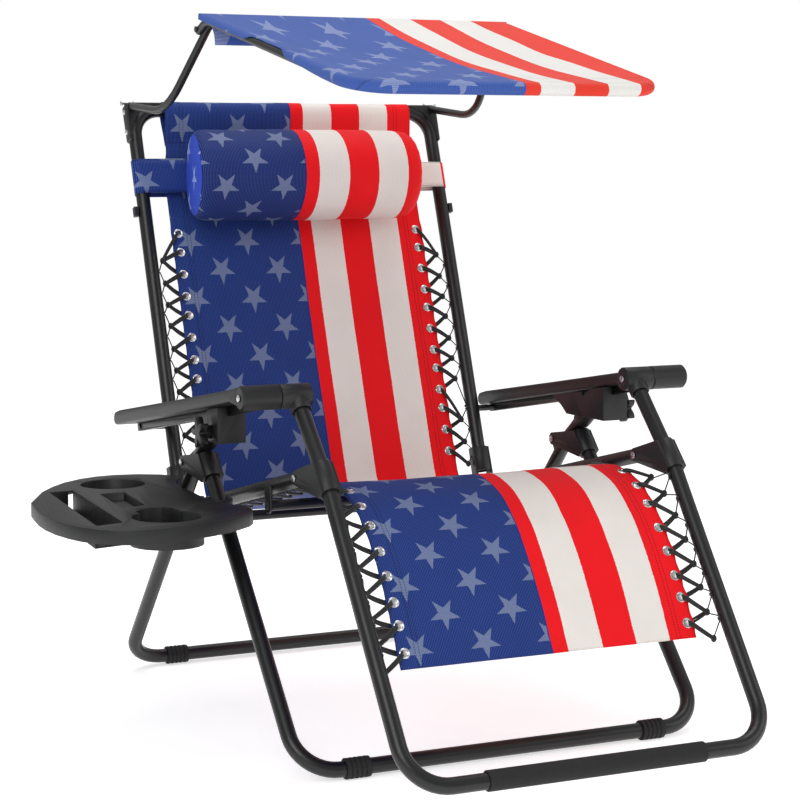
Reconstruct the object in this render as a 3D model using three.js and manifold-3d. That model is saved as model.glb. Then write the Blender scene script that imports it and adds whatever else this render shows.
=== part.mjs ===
// A reclining sun lounger with a canopy, a head pillow and a clip-on side tray, built in three.js.
// Millimetres, +Z up, +X to the sitter's left, and the chair faces -Y.
import * as THREE from "three";
import { mergeVertices } from "three/addons/utils/BufferGeometryUtils.js";
import Module from "manifold-3d";

const wasm = await Module();
wasm.setup();

// Tubes and how closely two pieces meet
const tubeRadius = 12.5;
const tubeBoreRadius = 11.2;
const fitGap = 0.3;
const sleeveBoreRadius = 13.25;
const boltRadius = 4;
const boltHoleRadius = 4.4;
const endPlugDepth = 3;
const cutExtra = 2;
const tubeSides = 12;
const boreSides = 8;
const boltSides = 8;
const cordSides = 4;
const bendSteps = 4;
const weldDepth = 1;
const smallestMiterShare = 0.5;

// Half the width between the seat rails, from which the other widths are counted
const frameHalfWidth = 302;

// The two U-shaped floor frames, which cross at the leg pivots
const legOutset = 52;
const legHalfWidth = frameHalfWidth + legOutset;
const floorAxisHeight = 16;
const floorBendRadius = 66;
const rearFloorY = 416;
const rearKneeY = 31.9;
const rearKneeZ = 434;
const rearKneeBendRadius = 30;
const rearTopY = -34;
const rearTopZ = 484.6;
const frontFloorY = -412;
const frontTopY = -13.7;
const frontTopZ = 449.2;
const crossPivotY = 59.5;
const crossPivotZ = 431;
const frontCrossbarY = -96.8;
const frontCrossbarZ = 360;
const crossbarRadius = 8.5;
const footInset = 93;
const footCentreX = legHalfWidth - footInset;
const footLength = 40;
const footRibDepth = 1.7;
const footRibCount = 5;
const footRibShare = 0.6;
const footGrooveShare = 0.8;
const footRadius = 16.56;

// Seat rails, with the pivots of the footrest, the backrest and the rear legs
const seatFrontY = -311;
const seatFrontZ = 451;
const seatRearY = 255.7;
const seatRearZ = 313.9;
const legPivotY = 108.9;
const legPivotZ = 350.2;
const railOverrun = 12;
const seatCrossbarY = -197;
const seatCrossbarZ = 391;
const hookThickness = 4;
const hookRadius = 13;

// Backrest frame
const backTopY = 509.5;
const backTopZ = 1023;
const backStart = 40;
const backBendRadius = 50;
const backForkStart = 34;
const backForkEnd = 80;

// Footrest frame
const knuckleY = -279.3;
const knuckleZ = 574;
const footKneeY = -411;
const footKneeZ = 439;
const footBarY = -690;
const footBarZ = 59;
const footKneeBendRadius = 60;
const footTubeEnd = 9;
const footCollarLength = 54;
const footSleeveInset = 120;
const footSleeveHalfLength = frameHalfWidth - footSleeveInset;
const footSleeveRadius = 15.6;

// Forks and collars that carry the pivots
const collarRadius = 16.6;
const earInnerOffset = 13.2;
const earThickness = 4;
const earTipRadius = 11.5;
const legCollarLength = 45;
const rivetHeadRadius = 6;
const rivetHeadHeight = 2.6;
const legLugHalfWidth = 12.6;
const spacerRadius = 13;

// Armrests, their rails and the knuckles they hinge on
const armSlopeDegrees = 9.8;
const padInnerInset = 19;
const padInnerX = legHalfWidth - padInnerInset;
const padOuterReach = 42;
const padOuterX = legHalfWidth + padOuterReach;
const padProfile = [[6, 18.4], [30, 17.4], [70, 17], [330, 18.6], [610, 21.2], [634, 19.4], [641, 12],
  [641, 2], [634, -3.8], [60, -4], [46, -4], [30, -8], [14, -14]];
const knuckleRadius = 19.5;
const knuckleInnerInset = 21;
const knuckleInnerX = frameHalfWidth - knuckleInnerInset;
const knuckleSplitOutset = 29.7;
const knuckleSplitX = frameHalfWidth + knuckleSplitOutset;
const knuckleNeckRadius = 16.4;
const knuckleNeckLength = 31;
const armRailHalfThickness = 6;
const armRailInnerX = legHalfWidth - armRailHalfThickness;
const armRailOuterX = legHalfWidth + armRailHalfThickness;
const armRailStart = 36;
const armRailEnd = 617;
const armRailTop = -4.3;
const armRailBottom = -18;
const armPivotAlong = 600;
const armPivotDrop = -11;
const armBossRadius = 6;

// Recline locks on the tops of the rear legs
const lockHalfWidth = 24;
const lockInnerX = legHalfWidth - lockHalfWidth;
const lockOuterX = legHalfWidth + lockHalfWidth;
const lockProfile = [[-134, 543.9], [-91, 536.4], [-48, 514.6], [-48, 485], [-134, 485]];
const lockPlateProfile = [[-60, 484], [-4.5, 484], [14, 497], [47.5, 512.4], [-24, 524.6], [-60, 528]];
const lockPlateThickness = 4.6;
const lockSleeveRadius = 16.6;
const lockSleeveStart = 64.5;
const lockSleeveEnd = 96;
const railSlotProfile = [[-150, 533], [-92, 522.6], [60, 446], [60, 640], [-150, 640]];
const railSlotHalfWidth = 6.6;
const railSlotInnerX = legHalfWidth - railSlotHalfWidth;
const railSlotOuterX = legHalfWidth + railSlotHalfWidth;
const knobY = -100;
const knobZ = 501;
const knobHubRadius = 11;
const knobInnerX = lockOuterX + fitGap;
const knobNeck = 10.7;
const knobLobeStartX = knobInnerX + knobNeck;
const knobDepth = 22.7;
const knobOuterX = knobInnerX + knobDepth;
const knobLobeRadius = 8.6;
const knobLobeCentre = 17.5;
const knobLobes = 5;
const knobStemRadius = 5;
const knobStemDepth = 14;
const knobStemSlack = 0.7;

// Corner brackets and the canopy with its two hoops
const bracketInnerX = frameHalfWidth + tubeRadius + fitGap;
const bracketThickness = 4.4;
const bracketTopRadius = 14;
const bracketFootAhead = 25.5;
const bracketFootY = backTopY - bracketFootAhead;
const bracketFootDrop = 68;
const bracketFootZ = backTopZ - bracketFootDrop;
const bracketFootRadius = 10;
const canopyPivotBehind = 4.5;
const canopyPivotY = backTopY + canopyPivotBehind;
const canopyPivotRise = 13;
const canopyPivotZ = backTopZ + canopyPivotRise;
const canopyTubeRadius = 7;
const canopyArmGap = 1.8;
const canopyArmHalfWidth = bracketInnerX - canopyTubeRadius - canopyArmGap;
const canopyArmEnd = 9;
const canopyArmBendAhead = 211;
const canopyArmBendY = canopyPivotY - canopyArmBendAhead;
const canopyArmBendDrop = 24;
const canopyArmBendZ = canopyPivotZ - canopyArmBendDrop;
const canopyArmBendRadius = 75;
const canopyCornerRadius = 26;
const canopyRearInset = 36;
const canopyRearHalfWidth = canopyArmHalfWidth - canopyRearInset;
const canopyRearAhead = 349;
const canopyRearY = canopyPivotY - canopyRearAhead;
const canopyRearRise = 135;
const canopyRearZ = canopyPivotZ + canopyRearRise;
const canopyHingeAhead = 332;
const canopyHingeY = canopyPivotY - canopyHingeAhead;
const canopyHingeRise = 119;
const canopyHingeZ = canopyPivotZ + canopyHingeRise;
const canopySideInset = 20.4;
const canopySideHalfWidth = canopyArmHalfWidth - canopySideInset;
const canopySideBendAhead = 368;
const canopySideBendY = canopyPivotY - canopySideBendAhead;
const canopySideBendRise = 131.6;
const canopySideBendZ = canopyPivotZ + canopySideBendRise;
const canopyFrontAhead = 934;
const canopyFrontY = canopyPivotY - canopyFrontAhead;
const canopyFrontRise = 7;
const canopyFrontZ = canopyPivotZ + canopyFrontRise;
const canopyFrontBendRadius = 42;
const canopySideBendRadius = 60;
const canopyPinRadius = 2.6;
const canopyPinHoleRadius = 2.95;
const canopyHeadRadius = 5;
const coverOverhang = 8.4;
const coverHalfWidth = canopySideHalfWidth + coverOverhang;
const coverSleeveInset = 34;
const coverSleeveHalfWidth = canopyRearHalfWidth - coverSleeveInset;
const coverThickness = 2.4;
const coverLift = 7.6;
const coverHemDrop = 34;
const hemTurnShares = [0.2, 0.45, 0.7];

// Textilene sling in three lengths, with its eyelets
const slingEdgeGap = 47;
const slingHalfWidth = frameHalfWidth - slingEdgeGap;
const slingThickness = 2.4;
const backSheetDepth = 5.4;
const backSheetLow = 52;
const seatSheetDepth = 8;
const seatSheetStart = 52;
const seatSheetEnd = 524;
const topSleeveInset = 10;
const topSleeveHalfWidth = slingHalfWidth - topSleeveInset;
const topSleeveRadius = 15.6;
const topSleeveBore = 13.2;
const eyeletRadius = 4.8;
const eyeletSides = 6;
const backEyeletInset = 14;
const backEyeletX = slingHalfWidth - backEyeletInset;
const backEyeletFirst = 518.4;
const backEyeletStep = 39.9;
const backEyeletCount = 12;
const seatEyeletFirst = 72.5;
const seatEyeletStep = 45;
const seatEyeletCount = 11;
const seatEyeletInset = 13;
const seatEyeletX = slingHalfWidth - seatEyeletInset;
const legEyeletInset = 12;
const legEyeletX = slingHalfWidth - legEyeletInset;
const legSheetLine = [[-300, 437], [-322, 435], [-345, 430], [-369, 423.5], [-390, 414], [-408, 402.5],
  [-424, 389], [-441, 374.5], [-456, 358], [-483, 324], [-506, 289], [-525, 256.5], [-544, 220], [-556, 198]];
const legEyeletStations = [2, 4, 6, 8, 9, 10, 11, 12];
const legFirstWrap = 28;
const legWrapStep = 39.5;
const bungeeRadius = 2.7;
const bungeeLift = 4.55;
const bungeeWrapRadius = 18.4;
const bungeeSpread = 4.5;
const bungeeEdgeReach = 4;
const wrapTurn = THREE.MathUtils.degToRad(130);
const wrapPoints = 5;

// Head pillow, with the strap that loops round both backrest tubes
const pillowAlong = 601.8;
const pillowStandOff = 72.75;
const pillowRadius = 83;
const pillowRightX = -216;
const pillowLeftX = 196;
const pillowEndRadius = 74;
const pillowEndRound = 12;
const pillowSides = 20;
const strapLow = 589.6;
const strapHigh = 654.4;
const strapThickness = 1.6;
const strapSlack = 0.9;
const strapBendSteps = 6;
const strapStopThickness = 8.2;
const strapStopInnerX = frameHalfWidth + tubeRadius + fitGap;
const strapStopOuterX = strapStopInnerX + strapStopThickness;
const strapStopLow = 548;
const strapStopHigh = 566;

// Side tray with its clamp, on the right front leg
const trayTopZ = 387;
const trayRimHeight = 22;
const traySkin = 3;
const trayRim = 3.4;
const trayOutline = [[-296, -31], [-289, 14], [-266, 64], [-242, 116], [-210, 165], [-178, 203], [-141, 232],
  [-107, 247], [-74, 251], [-34, 243], [1, 222], [21, 194], [19, 170], [2, 146], [-10, 114],
  [-14.5, 64], [-15.5, 4], [-19, -50], [-20, -85], [-10, -116], [7, -148], [13, -176],
  [9, -202], [-6, -224], [-54, -264], [-94, -283], [-140, -298], [-179, -304], [-215, -303],
  [-244, -292], [-264, -272], [-282, -242], [-293, -209], [-301, -167], [-304, -123], [-302, -76]];
const cupRadius = 55;
const cupWall = 2.4;
const cupSides = 24;
const rearCupReach = 109;
const rearCupX = -legHalfWidth - rearCupReach;
const rearCupY = 150;
const frontCupReach = 134;
const frontCupX = -legHalfWidth - frontCupReach;
const frontCupY = -203;
const cupBottomZ = 344;
const phoneNotch = [[-163, -175], [-163, -137], [-148, -121], [-133, -112], [-112, -113], [-98, -126],
  [-95, -150], [-101, -178]];
const traySlot = [[-232, 107], [-190, 114], [-211, -225], [-258, -238]];
const slotPocketZ = 352;
const trayWindow = [[-161, 55], [-119, 59], [-129, -84], [-172, -94]];
const windowPocketZ = 371;
const trayBossRadius = 23;
const bossSwingGap = 4.4;
const swingBoreRadius = 13.4;
const clampTop = 363.6;
const clampLength = 26;
const clampRadius = 19;
const clampLugHalfThickness = 7;
const clampLugReach = 34;

const black = { color: 0x1a1b1d, metalness: 0.55, roughness: 0.36 };
const blackPlastic = { color: 0x202123, metalness: 0, roughness: 0.6 };
const rubber = { color: 0x151515, metalness: 0, roughness: 0.85 };
const silver = { color: 0xc9cbce, metalness: 1, roughness: 0.28 };
const blueCloth = { color: 0x1f3f92, metalness: 0, roughness: 0.85 };
const redCloth = { color: 0xd02226, metalness: 0, roughness: 0.85 };
const bungee = { color: 0x121212, metalness: 0, roughness: 0.7 };

const root = new THREE.Group();
root.name = "sun_lounger";

// A group for each body that moves as one.
function bodyGroup(name) {
  const group = new THREE.Group();
  group.name = name;
  root.add(group);
  return group;
}

const rearLegs = bodyGroup("rear_legs");
const frontLegs = bodyGroup("front_legs");
const seat = bodyGroup("seat");
const backrest = bodyGroup("backrest");
const footrest = bodyGroup("footrest");
const armrests = bodyGroup("armrests");
const canopy = bodyGroup("canopy");

// Solids and geometry

function solidOf(geometry) {
  geometry.deleteAttribute("normal");
  geometry.deleteAttribute("uv");
  const merged = mergeVertices(geometry, 1e-4);
  const triVerts = new Uint32Array(merged.index.array);
  const vertProperties = new Float32Array(merged.attributes.position.array);
  return new wasm.Manifold(new wasm.Mesh({ numProp: 3, vertProperties, triVerts }));
}

function geometryOf(solid) {
  const mesh = solid.getMesh();
  const geometry = new THREE.BufferGeometry();
  geometry.setAttribute("position", new THREE.BufferAttribute(mesh.vertProperties, 3));
  geometry.setIndex(new THREE.BufferAttribute(mesh.triVerts, 1));
  const flat = geometry.toNonIndexed();
  flat.computeVertexNormals();
  return flat;
}

function addNode(group, name, solid, look) {
  const mesh = new THREE.Mesh(geometryOf(solid), new THREE.MeshStandardMaterial(look));
  mesh.name = name;
  group.add(mesh);
  return mesh;
}

function joined(solids) {
  return solids.reduce((sum, solid) => sum.add(solid));
}

function cut(solid, tools) {
  return tools.reduce((rest, tool) => rest.subtract(tool), solid);
}

function roundPoints(radius, sides, centreX = 0, centreY = 0) {
  const points = [];
  for (let i = 0; i < sides; i++) {
    const angle = (2 * Math.PI * (i + 0.5)) / sides;
    points.push(new THREE.Vector2(centreX + radius * Math.cos(angle), centreY + radius * Math.sin(angle)));
  }
  return points;
}

function pairs(list) {
  return list.map(([a, b]) => new THREE.Vector2(a, b));
}

// The outline of the tightest convex shape round the points.
function hull(points) {
  const sorted = [...points].sort((a, b) => a.x - b.x || a.y - b.y);
  const turn = (o, a, b) => (a.x - o.x) * (b.y - o.y) - (a.y - o.y) * (b.x - o.x);
  const half = (list) => {
    const chain = [];
    for (const point of list) {
      while (chain.length > 1 && turn(chain.at(-2), chain.at(-1), point) <= 0) chain.pop();
      chain.push(point);
    }
    chain.pop();
    return chain;
  };
  return [...half(sorted), ...half(sorted.reverse())];
}

// A flat piece: its outline lies in Y and Z, and its thickness runs along X.
function sidePlate(points, fromX, toX) {
  const low = Math.min(fromX, toX);
  const depth = Math.abs(toX - fromX);
  const shape = new THREE.Shape(points);
  const geometry = new THREE.ExtrudeGeometry(shape, { depth, bevelEnabled: false, steps: 1 });
  const basis = new THREE.Matrix4().makeBasis(
    new THREE.Vector3(0, 1, 0),
    new THREE.Vector3(0, 0, 1),
    new THREE.Vector3(1, 0, 0),
  );
  geometry.applyMatrix4(basis);
  geometry.translate(low, 0, 0);
  return solidOf(geometry);
}

function crossRod(radius, fromX, toX, y, z, sides = boltSides) {
  return sidePlate(roundPoints(radius, sides, y, z), fromX, toX);
}

// An upright piece: its outline lies in X and Y.
function levelPlate(points, lowZ, highZ) {
  const shape = new THREE.Shape(points);
  const options = { depth: highZ - lowZ, bevelEnabled: false, steps: 1 };
  const geometry = new THREE.ExtrudeGeometry(shape, options);
  geometry.translate(0, 0, lowZ);
  return solidOf(geometry);
}

// A path given by its stations, so that each ring of the extrusion falls on a station.
class StationPath extends THREE.Curve {
  constructor(stations) {
    super();
    this.stations = stations;
  }
  getPoint(share) {
    const last = this.stations.length - 1;
    return this.stations[Math.round(share * last)].point.clone();
  }
  getPointAt(share) {
    return this.getPoint(share);
  }
  getTangent(share) {
    const last = this.stations.length - 1;
    return this.stations[Math.round(share * last)].tangent.clone();
  }
  getTangentAt(share) {
    return this.getTangent(share);
  }
}

// Stations of a line through the corners, with each inner corner rounded to its bend radius.
function bentLine(corners, bendRadii, steps = bendSteps) {
  const count = corners.length;
  const direction = (i) => corners[i + 1].clone().sub(corners[i]).normalize();
  const stations = [{ point: corners[0].clone(), tangent: direction(0) }];
  for (let i = 1; i < count - 1; i++) {
    const before = direction(i - 1);
    const after = direction(i);
    const turn = before.angleTo(after);
    const radius = bendRadii[i - 1];
    const side = after.clone().addScaledVector(before, -after.dot(before)).normalize();
    const start = corners[i].clone().addScaledVector(before, -radius * Math.tan(turn / 2));
    const centre = start.clone().addScaledVector(side, radius);
    for (let k = 0; k <= steps; k++) {
      const angle = (turn * k) / steps;
      const point = centre.clone();
      point.addScaledVector(side, -radius * Math.cos(angle));
      point.addScaledVector(before, radius * Math.sin(angle));
      const tangent = before.clone().multiplyScalar(Math.cos(angle));
      tangent.addScaledVector(side, Math.sin(angle));
      stations.push({ point, tangent });
    }
  }
  stations.push({ point: corners[count - 1].clone(), tangent: direction(count - 2) });
  return stations;
}

// Stations straight through the points, each turned half way between its two neighbours.
function throughPoints(points) {
  return points.map((point, i) => {
    const before = points[Math.max(i - 1, 0)];
    const after = points[Math.min(i + 1, points.length - 1)];
    const into = point.clone().sub(before).normalize();
    const out = after.clone().sub(point).normalize();
    return { point: point.clone(), tangent: into.add(out).normalize() };
  });
}

function sweep(stations, radius, sides) {
  const shape = new THREE.Shape(roundPoints(radius, sides));
  const path = new StationPath(stations);
  const options = { steps: stations.length - 1, extrudePath: path, bevelEnabled: false };
  return solidOf(new THREE.ExtrudeGeometry(shape, options));
}

function longer(stations, extra) {
  const first = stations[0];
  const last = stations.at(-1);
  const start = { point: first.point.clone().addScaledVector(first.tangent, -extra), tangent: first.tangent };
  const end = { point: last.point.clone().addScaledVector(last.tangent, extra), tangent: last.tangent };
  return [start, ...stations.slice(1, -1), end];
}

function straight(from, to, radius, sides = tubeSides) {
  return sweep(bentLine([from, to], []), radius, sides);
}

// Directions and points in the side view, as unit steps in Y and Z

function stepBetween(fromY, fromZ, toY, toZ) {
  const length = Math.hypot(toY - fromY, toZ - fromZ);
  return { y: (toY - fromY) / length, z: (toZ - fromZ) / length, length };
}

const seatStep = stepBetween(seatFrontY, seatFrontZ, seatRearY, seatRearZ);
const backStep = stepBetween(seatRearY, seatRearZ, backTopY, backTopZ);
const footUpper = stepBetween(knuckleY, knuckleZ, footKneeY, footKneeZ);
const footLower = stepBetween(footKneeY, footKneeZ, footBarY, footBarZ);
const rearUpper = stepBetween(rearKneeY, rearKneeZ, rearTopY, rearTopZ);
const frontStep = stepBetween(frontFloorY, floorAxisHeight, frontTopY, frontTopZ);
const armSlope = THREE.MathUtils.degToRad(armSlopeDegrees);
const armStep = { y: Math.cos(armSlope), z: -Math.sin(armSlope) };

function spot(fromY, fromZ, step, along, off = 0) {
  const y = fromY + step.y * along - step.z * off;
  const z = fromZ + step.z * along + step.y * off;
  return { y, z };
}

const seatSpot = (along, off) => spot(seatFrontY, seatFrontZ, seatStep, along, off);
const backSpot = (along, off) => spot(seatRearY, seatRearZ, backStep, along, off);
const armSpot = (along, off) => spot(knuckleY, knuckleZ, armStep, along, off);

function at(x, place) {
  return new THREE.Vector3(x, place.y, place.z);
}

function spotPoint(place) {
  return new THREE.Vector2(place.y, place.z);
}

// A rivet or bolt along X, with a head on each end.
function rivet(fromX, toX, y, z, shank = boltRadius, head = rivetHeadRadius) {
  const low = Math.min(fromX, toX);
  const high = Math.max(fromX, toX);
  const inset = fitGap;
  return joined([
    crossRod(shank, low - inset, high + inset, y, z),
    crossRod(head, low - inset - rivetHeadHeight, low - inset, y, z),
    crossRod(head, high + inset, high + inset + rivetHeadHeight, y, z),
  ]);
}

const sides = [{ tag: "right", sign: -1 }, { tag: "left", sign: 1 }];

// U-shaped leg frames

const rearCorners = [
  new THREE.Vector3(-legHalfWidth, rearTopY, rearTopZ),
  new THREE.Vector3(-legHalfWidth, rearKneeY, rearKneeZ),
  new THREE.Vector3(-legHalfWidth, rearFloorY, floorAxisHeight),
  new THREE.Vector3(legHalfWidth, rearFloorY, floorAxisHeight),
  new THREE.Vector3(legHalfWidth, rearKneeY, rearKneeZ),
  new THREE.Vector3(legHalfWidth, rearTopY, rearTopZ),
];
const rearBends = [rearKneeBendRadius, floorBendRadius, floorBendRadius, rearKneeBendRadius];
const rearPath = bentLine(rearCorners, rearBends);
const legPivotHoles = sides.map(({ sign }) => {
  const inner = sign * (legHalfWidth - tubeRadius - cutExtra);
  const outer = sign * (legHalfWidth + tubeRadius + cutExtra);
  return crossRod(boltHoleRadius, inner, outer, legPivotY, legPivotZ);
});

// A welded lug behind each rear leg carries the pivot where the two leg frames cross.
const crossLugs = sides.map(({ sign }) => {
  const tip = roundPoints(earTipRadius, boltSides, crossPivotY, crossPivotZ);
  const above = spot(rearKneeY, rearKneeZ, rearUpper, 0);
  const below = { y: crossPivotY, z: crossPivotZ - 2 * earTipRadius };
  const outline = hull([...tip, spotPoint(above), spotPoint(below)]);
  return sidePlate(outline, sign * (legHalfWidth - legLugHalfWidth), sign * (legHalfWidth + legLugHalfWidth));
});
const crossPivotHoles = sides.map(({ sign }) =>
  crossRod(
    boltHoleRadius,
    sign * (legHalfWidth - legLugHalfWidth - cutExtra),
    sign * (legHalfWidth + legLugHalfWidth + cutExtra),
    crossPivotY,
    crossPivotZ,
  ),
);
const rearOuter = joined([sweep(rearPath, tubeRadius, tubeSides), ...crossLugs]);
const rearBore = sweep(longer(rearPath, cutExtra), tubeBoreRadius, boreSides);
const rearFrame = cut(rearOuter, [rearBore, ...legPivotHoles, ...crossPivotHoles]);
addNode(rearLegs, "rear_leg_frame", rearFrame, black);

const frontCorners = [
  new THREE.Vector3(-legHalfWidth, frontTopY, frontTopZ),
  new THREE.Vector3(-legHalfWidth, frontFloorY, floorAxisHeight),
  new THREE.Vector3(legHalfWidth, frontFloorY, floorAxisHeight),
  new THREE.Vector3(legHalfWidth, frontTopY, frontTopZ),
];
const frontPath = bentLine(frontCorners, [floorBendRadius, floorBendRadius]);
const frontCrossbar = crossRod(
  crossbarRadius,
  -legHalfWidth,
  legHalfWidth,
  frontCrossbarY,
  frontCrossbarZ,
  tubeSides,
);
const frontOuter = joined([sweep(frontPath, tubeRadius, tubeSides), frontCrossbar]);
const frontBore = sweep(longer(frontPath, cutExtra), tubeBoreRadius, boreSides);
addNode(frontLegs, "front_leg_frame", cut(frontOuter, [frontBore]), black);

// What the clamp and the tray must stay clear of
const frontClearance = joined([
  sweep(frontPath, sleeveBoreRadius, tubeSides),
  crossRod(crossbarRadius + fitGap, -legHalfWidth, legHalfWidth, frontCrossbarY, frontCrossbarZ, tubeSides),
]);

// Four ribbed rubber feet round the floor bars
function ribbedFoot() {
  const pitch = footLength / footRibCount;
  const low = footRadius - footRibDepth;
  const profile = [new THREE.Vector2(sleeveBoreRadius, -footLength / 2)];
  for (let i = 0; i < footRibCount; i++) {
    const start = -footLength / 2 + pitch * i;
    profile.push(new THREE.Vector2(footRadius, start));
    profile.push(new THREE.Vector2(footRadius, start + pitch * footRibShare));
    if (i < footRibCount - 1) profile.push(new THREE.Vector2(low, start + pitch * footGrooveShare));
  }
  profile.push(new THREE.Vector2(footRadius, footLength / 2));
  profile.push(new THREE.Vector2(sleeveBoreRadius, footLength / 2));
  profile.push(profile[0].clone());
  const geometry = new THREE.LatheGeometry(profile, tubeSides, Math.PI / tubeSides);
  geometry.rotateZ(Math.PI / 2);
  return solidOf(geometry);
}

for (const { tag, sign } of sides) {
  const rearFoot = addNode(rearLegs, `rear_foot_${tag}`, ribbedFoot(), rubber);
  rearFoot.position.set(sign * footCentreX, rearFloorY, floorAxisHeight);
  const frontFoot = addNode(frontLegs, `front_foot_${tag}`, ribbedFoot(), rubber);
  frontFoot.position.set(sign * footCentreX, frontFloorY, floorAxisHeight);
}

// Collars on the tops of the front legs, with ears on both sides of the crossing pivot
function forkOn(sign, halfWidth, from, to, pivotY, pivotZ) {
  const start = at(sign * halfWidth, from);
  const end = at(sign * halfWidth, to);
  const barrel = straight(start, end, collarRadius);
  const step = stepBetween(from.y, from.z, to.y, to.z);
  const edge = tubeRadius * Math.sin(Math.PI / 4);
  const corners = [
    spot(from.y, from.z, step, 0, edge),
    spot(from.y, from.z, step, 0, -edge),
    spot(to.y, to.z, step, 0, edge),
    spot(to.y, to.z, step, 0, -edge),
  ];
  const outline = hull([...corners.map(spotPoint), ...roundPoints(earTipRadius, boltSides, pivotY, pivotZ)]);
  const ears = [-1, 1].map((face) => {
    const near = sign * halfWidth + face * earInnerOffset;
    const far = sign * halfWidth + face * (earInnerOffset + earThickness);
    return sidePlate(outline, near, far);
  });
  const bore = sweep(longer(bentLine([start, end], []), cutExtra), sleeveBoreRadius, tubeSides);
  const reach = earInnerOffset + earThickness + cutExtra;
  const hole = crossRod(
    boltHoleRadius,
    sign * halfWidth - reach,
    sign * halfWidth + reach,
    pivotY,
    pivotZ,
  );
  return cut(joined([barrel, ...ears]), [bore, hole]);
}

function forkRivet(sign, halfWidth, y, z) {
  const reach = earInnerOffset + earThickness;
  return rivet(sign * halfWidth - reach, sign * halfWidth + reach, y, z);
}

for (const { tag, sign } of sides) {
  const top = spot(frontTopY, frontTopZ, frontStep, 0);
  const low = spot(frontTopY, frontTopZ, frontStep, -legCollarLength);
  const collar = forkOn(sign, legHalfWidth, low, top, crossPivotY, crossPivotZ);
  addNode(frontLegs, `leg_collar_${tag}`, collar, blackPlastic);
  const pin = forkRivet(sign, legHalfWidth, crossPivotY, crossPivotZ);
  addNode(frontLegs, `leg_cross_rivet_${tag}`, pin, silver);
}

// Recline locks: a block on the top of each rear leg, and a star knob that clamps the armrest rail

function lockBlock(sign) {
  const start = at(sign * legHalfWidth, spot(rearKneeY, rearKneeZ, rearUpper, lockSleeveStart));
  const end = at(sign * legHalfWidth, spot(rearKneeY, rearKneeZ, rearUpper, lockSleeveEnd));
  const outer = joined([
    sidePlate(pairs(lockProfile), sign * lockInnerX, sign * lockOuterX),
    sidePlate(pairs(lockPlateProfile), sign * lockInnerX, sign * (lockInnerX + lockPlateThickness)),
    straight(start, end, lockSleeveRadius),
  ]);
  const bore = sweep(longer(rearPath, fitGap), sleeveBoreRadius, tubeSides);
  const slot = sidePlate(pairs(railSlotProfile), sign * railSlotInnerX, sign * railSlotOuterX);
  const stemHole = crossRod(
    knobStemRadius + knobStemSlack,
    sign * (knobInnerX - knobStemDepth - fitGap),
    sign * (lockOuterX + cutExtra),
    knobY,
    knobZ,
  );
  return cut(outer, [bore, slot, stemHole]);
}

function starKnob() {
  const outline = [];
  const steps = 8;
  for (let lobe = 0; lobe < knobLobes; lobe++) {
    const middle = (2 * Math.PI * lobe) / knobLobes;
    for (let k = 0; k < steps; k++) {
      const around = middle + ((k - (steps - 1) / 2) * 2 * Math.PI) / knobLobes / steps;
      const swing = Math.cos(knobLobes * (around - middle));
      const reach = knobLobeCentre + knobLobeRadius * swing;
      outline.push(new THREE.Vector2(reach * Math.cos(around), reach * Math.sin(around)));
    }
  }
  return outline;
}

for (const { tag, sign } of sides) {
  addNode(rearLegs, `lock_block_${tag}`, lockBlock(sign), blackPlastic);
  const middle = (knobInnerX + knobOuterX) / 2;
  const knob = joined([
    sidePlate(starKnob(), sign * (knobLobeStartX - middle), sign * (knobOuterX - middle)),
    crossRod(knobHubRadius, sign * (knobInnerX - middle), sign * (knobOuterX - middle), 0, 0, tubeSides),
    crossRod(knobStemRadius, sign * (knobInnerX - knobStemDepth - middle), sign * (knobLobeStartX - middle), 0, 0),
  ]);
  const node = addNode(rearLegs, `lock_knob_${tag}`, knob, blackPlastic);
  node.position.set(sign * middle, knobY, knobZ);
}

// Seat rails with their crossbar, hooks and leg pivots

const hookInnerX = frameHalfWidth + tubeRadius + fitGap;

for (const { tag, sign } of sides) {
  const start = at(sign * frameHalfWidth, seatSpot(-railOverrun));
  const end = at(sign * frameHalfWidth, seatSpot(seatStep.length + railOverrun));
  const boreStart = at(sign * frameHalfWidth, seatSpot(-railOverrun + endPlugDepth));
  const boreEnd = at(sign * frameHalfWidth, seatSpot(seatStep.length + railOverrun - endPlugDepth));
  const inner = sign * (frameHalfWidth - tubeRadius - cutExtra);
  const outer = sign * (frameHalfWidth + tubeRadius + cutExtra);
  const rail = cut(straight(start, end, tubeRadius), [
    straight(boreStart, boreEnd, tubeBoreRadius, boreSides),
    crossRod(boltHoleRadius, inner, outer, seatFrontY, seatFrontZ),
    crossRod(boltHoleRadius, inner, outer, legPivotY, legPivotZ),
    crossRod(boltHoleRadius, inner, outer, seatRearY, seatRearZ),
  ]);
  addNode(seat, `seat_rail_${tag}`, rail, black);
  const pivot = joined([
    rivet(
      sign * (frameHalfWidth - tubeRadius),
      sign * (legHalfWidth + tubeRadius),
      legPivotY,
      legPivotZ,
    ),
    crossRod(
      spacerRadius,
      sign * (frameHalfWidth + tubeRadius + fitGap),
      sign * (legHalfWidth - tubeRadius - fitGap),
      legPivotY,
      legPivotZ,
      tubeSides,
    ),
  ]);
  addNode(seat, `seat_pivot_bolt_${tag}`, pivot, silver);
}

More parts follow.
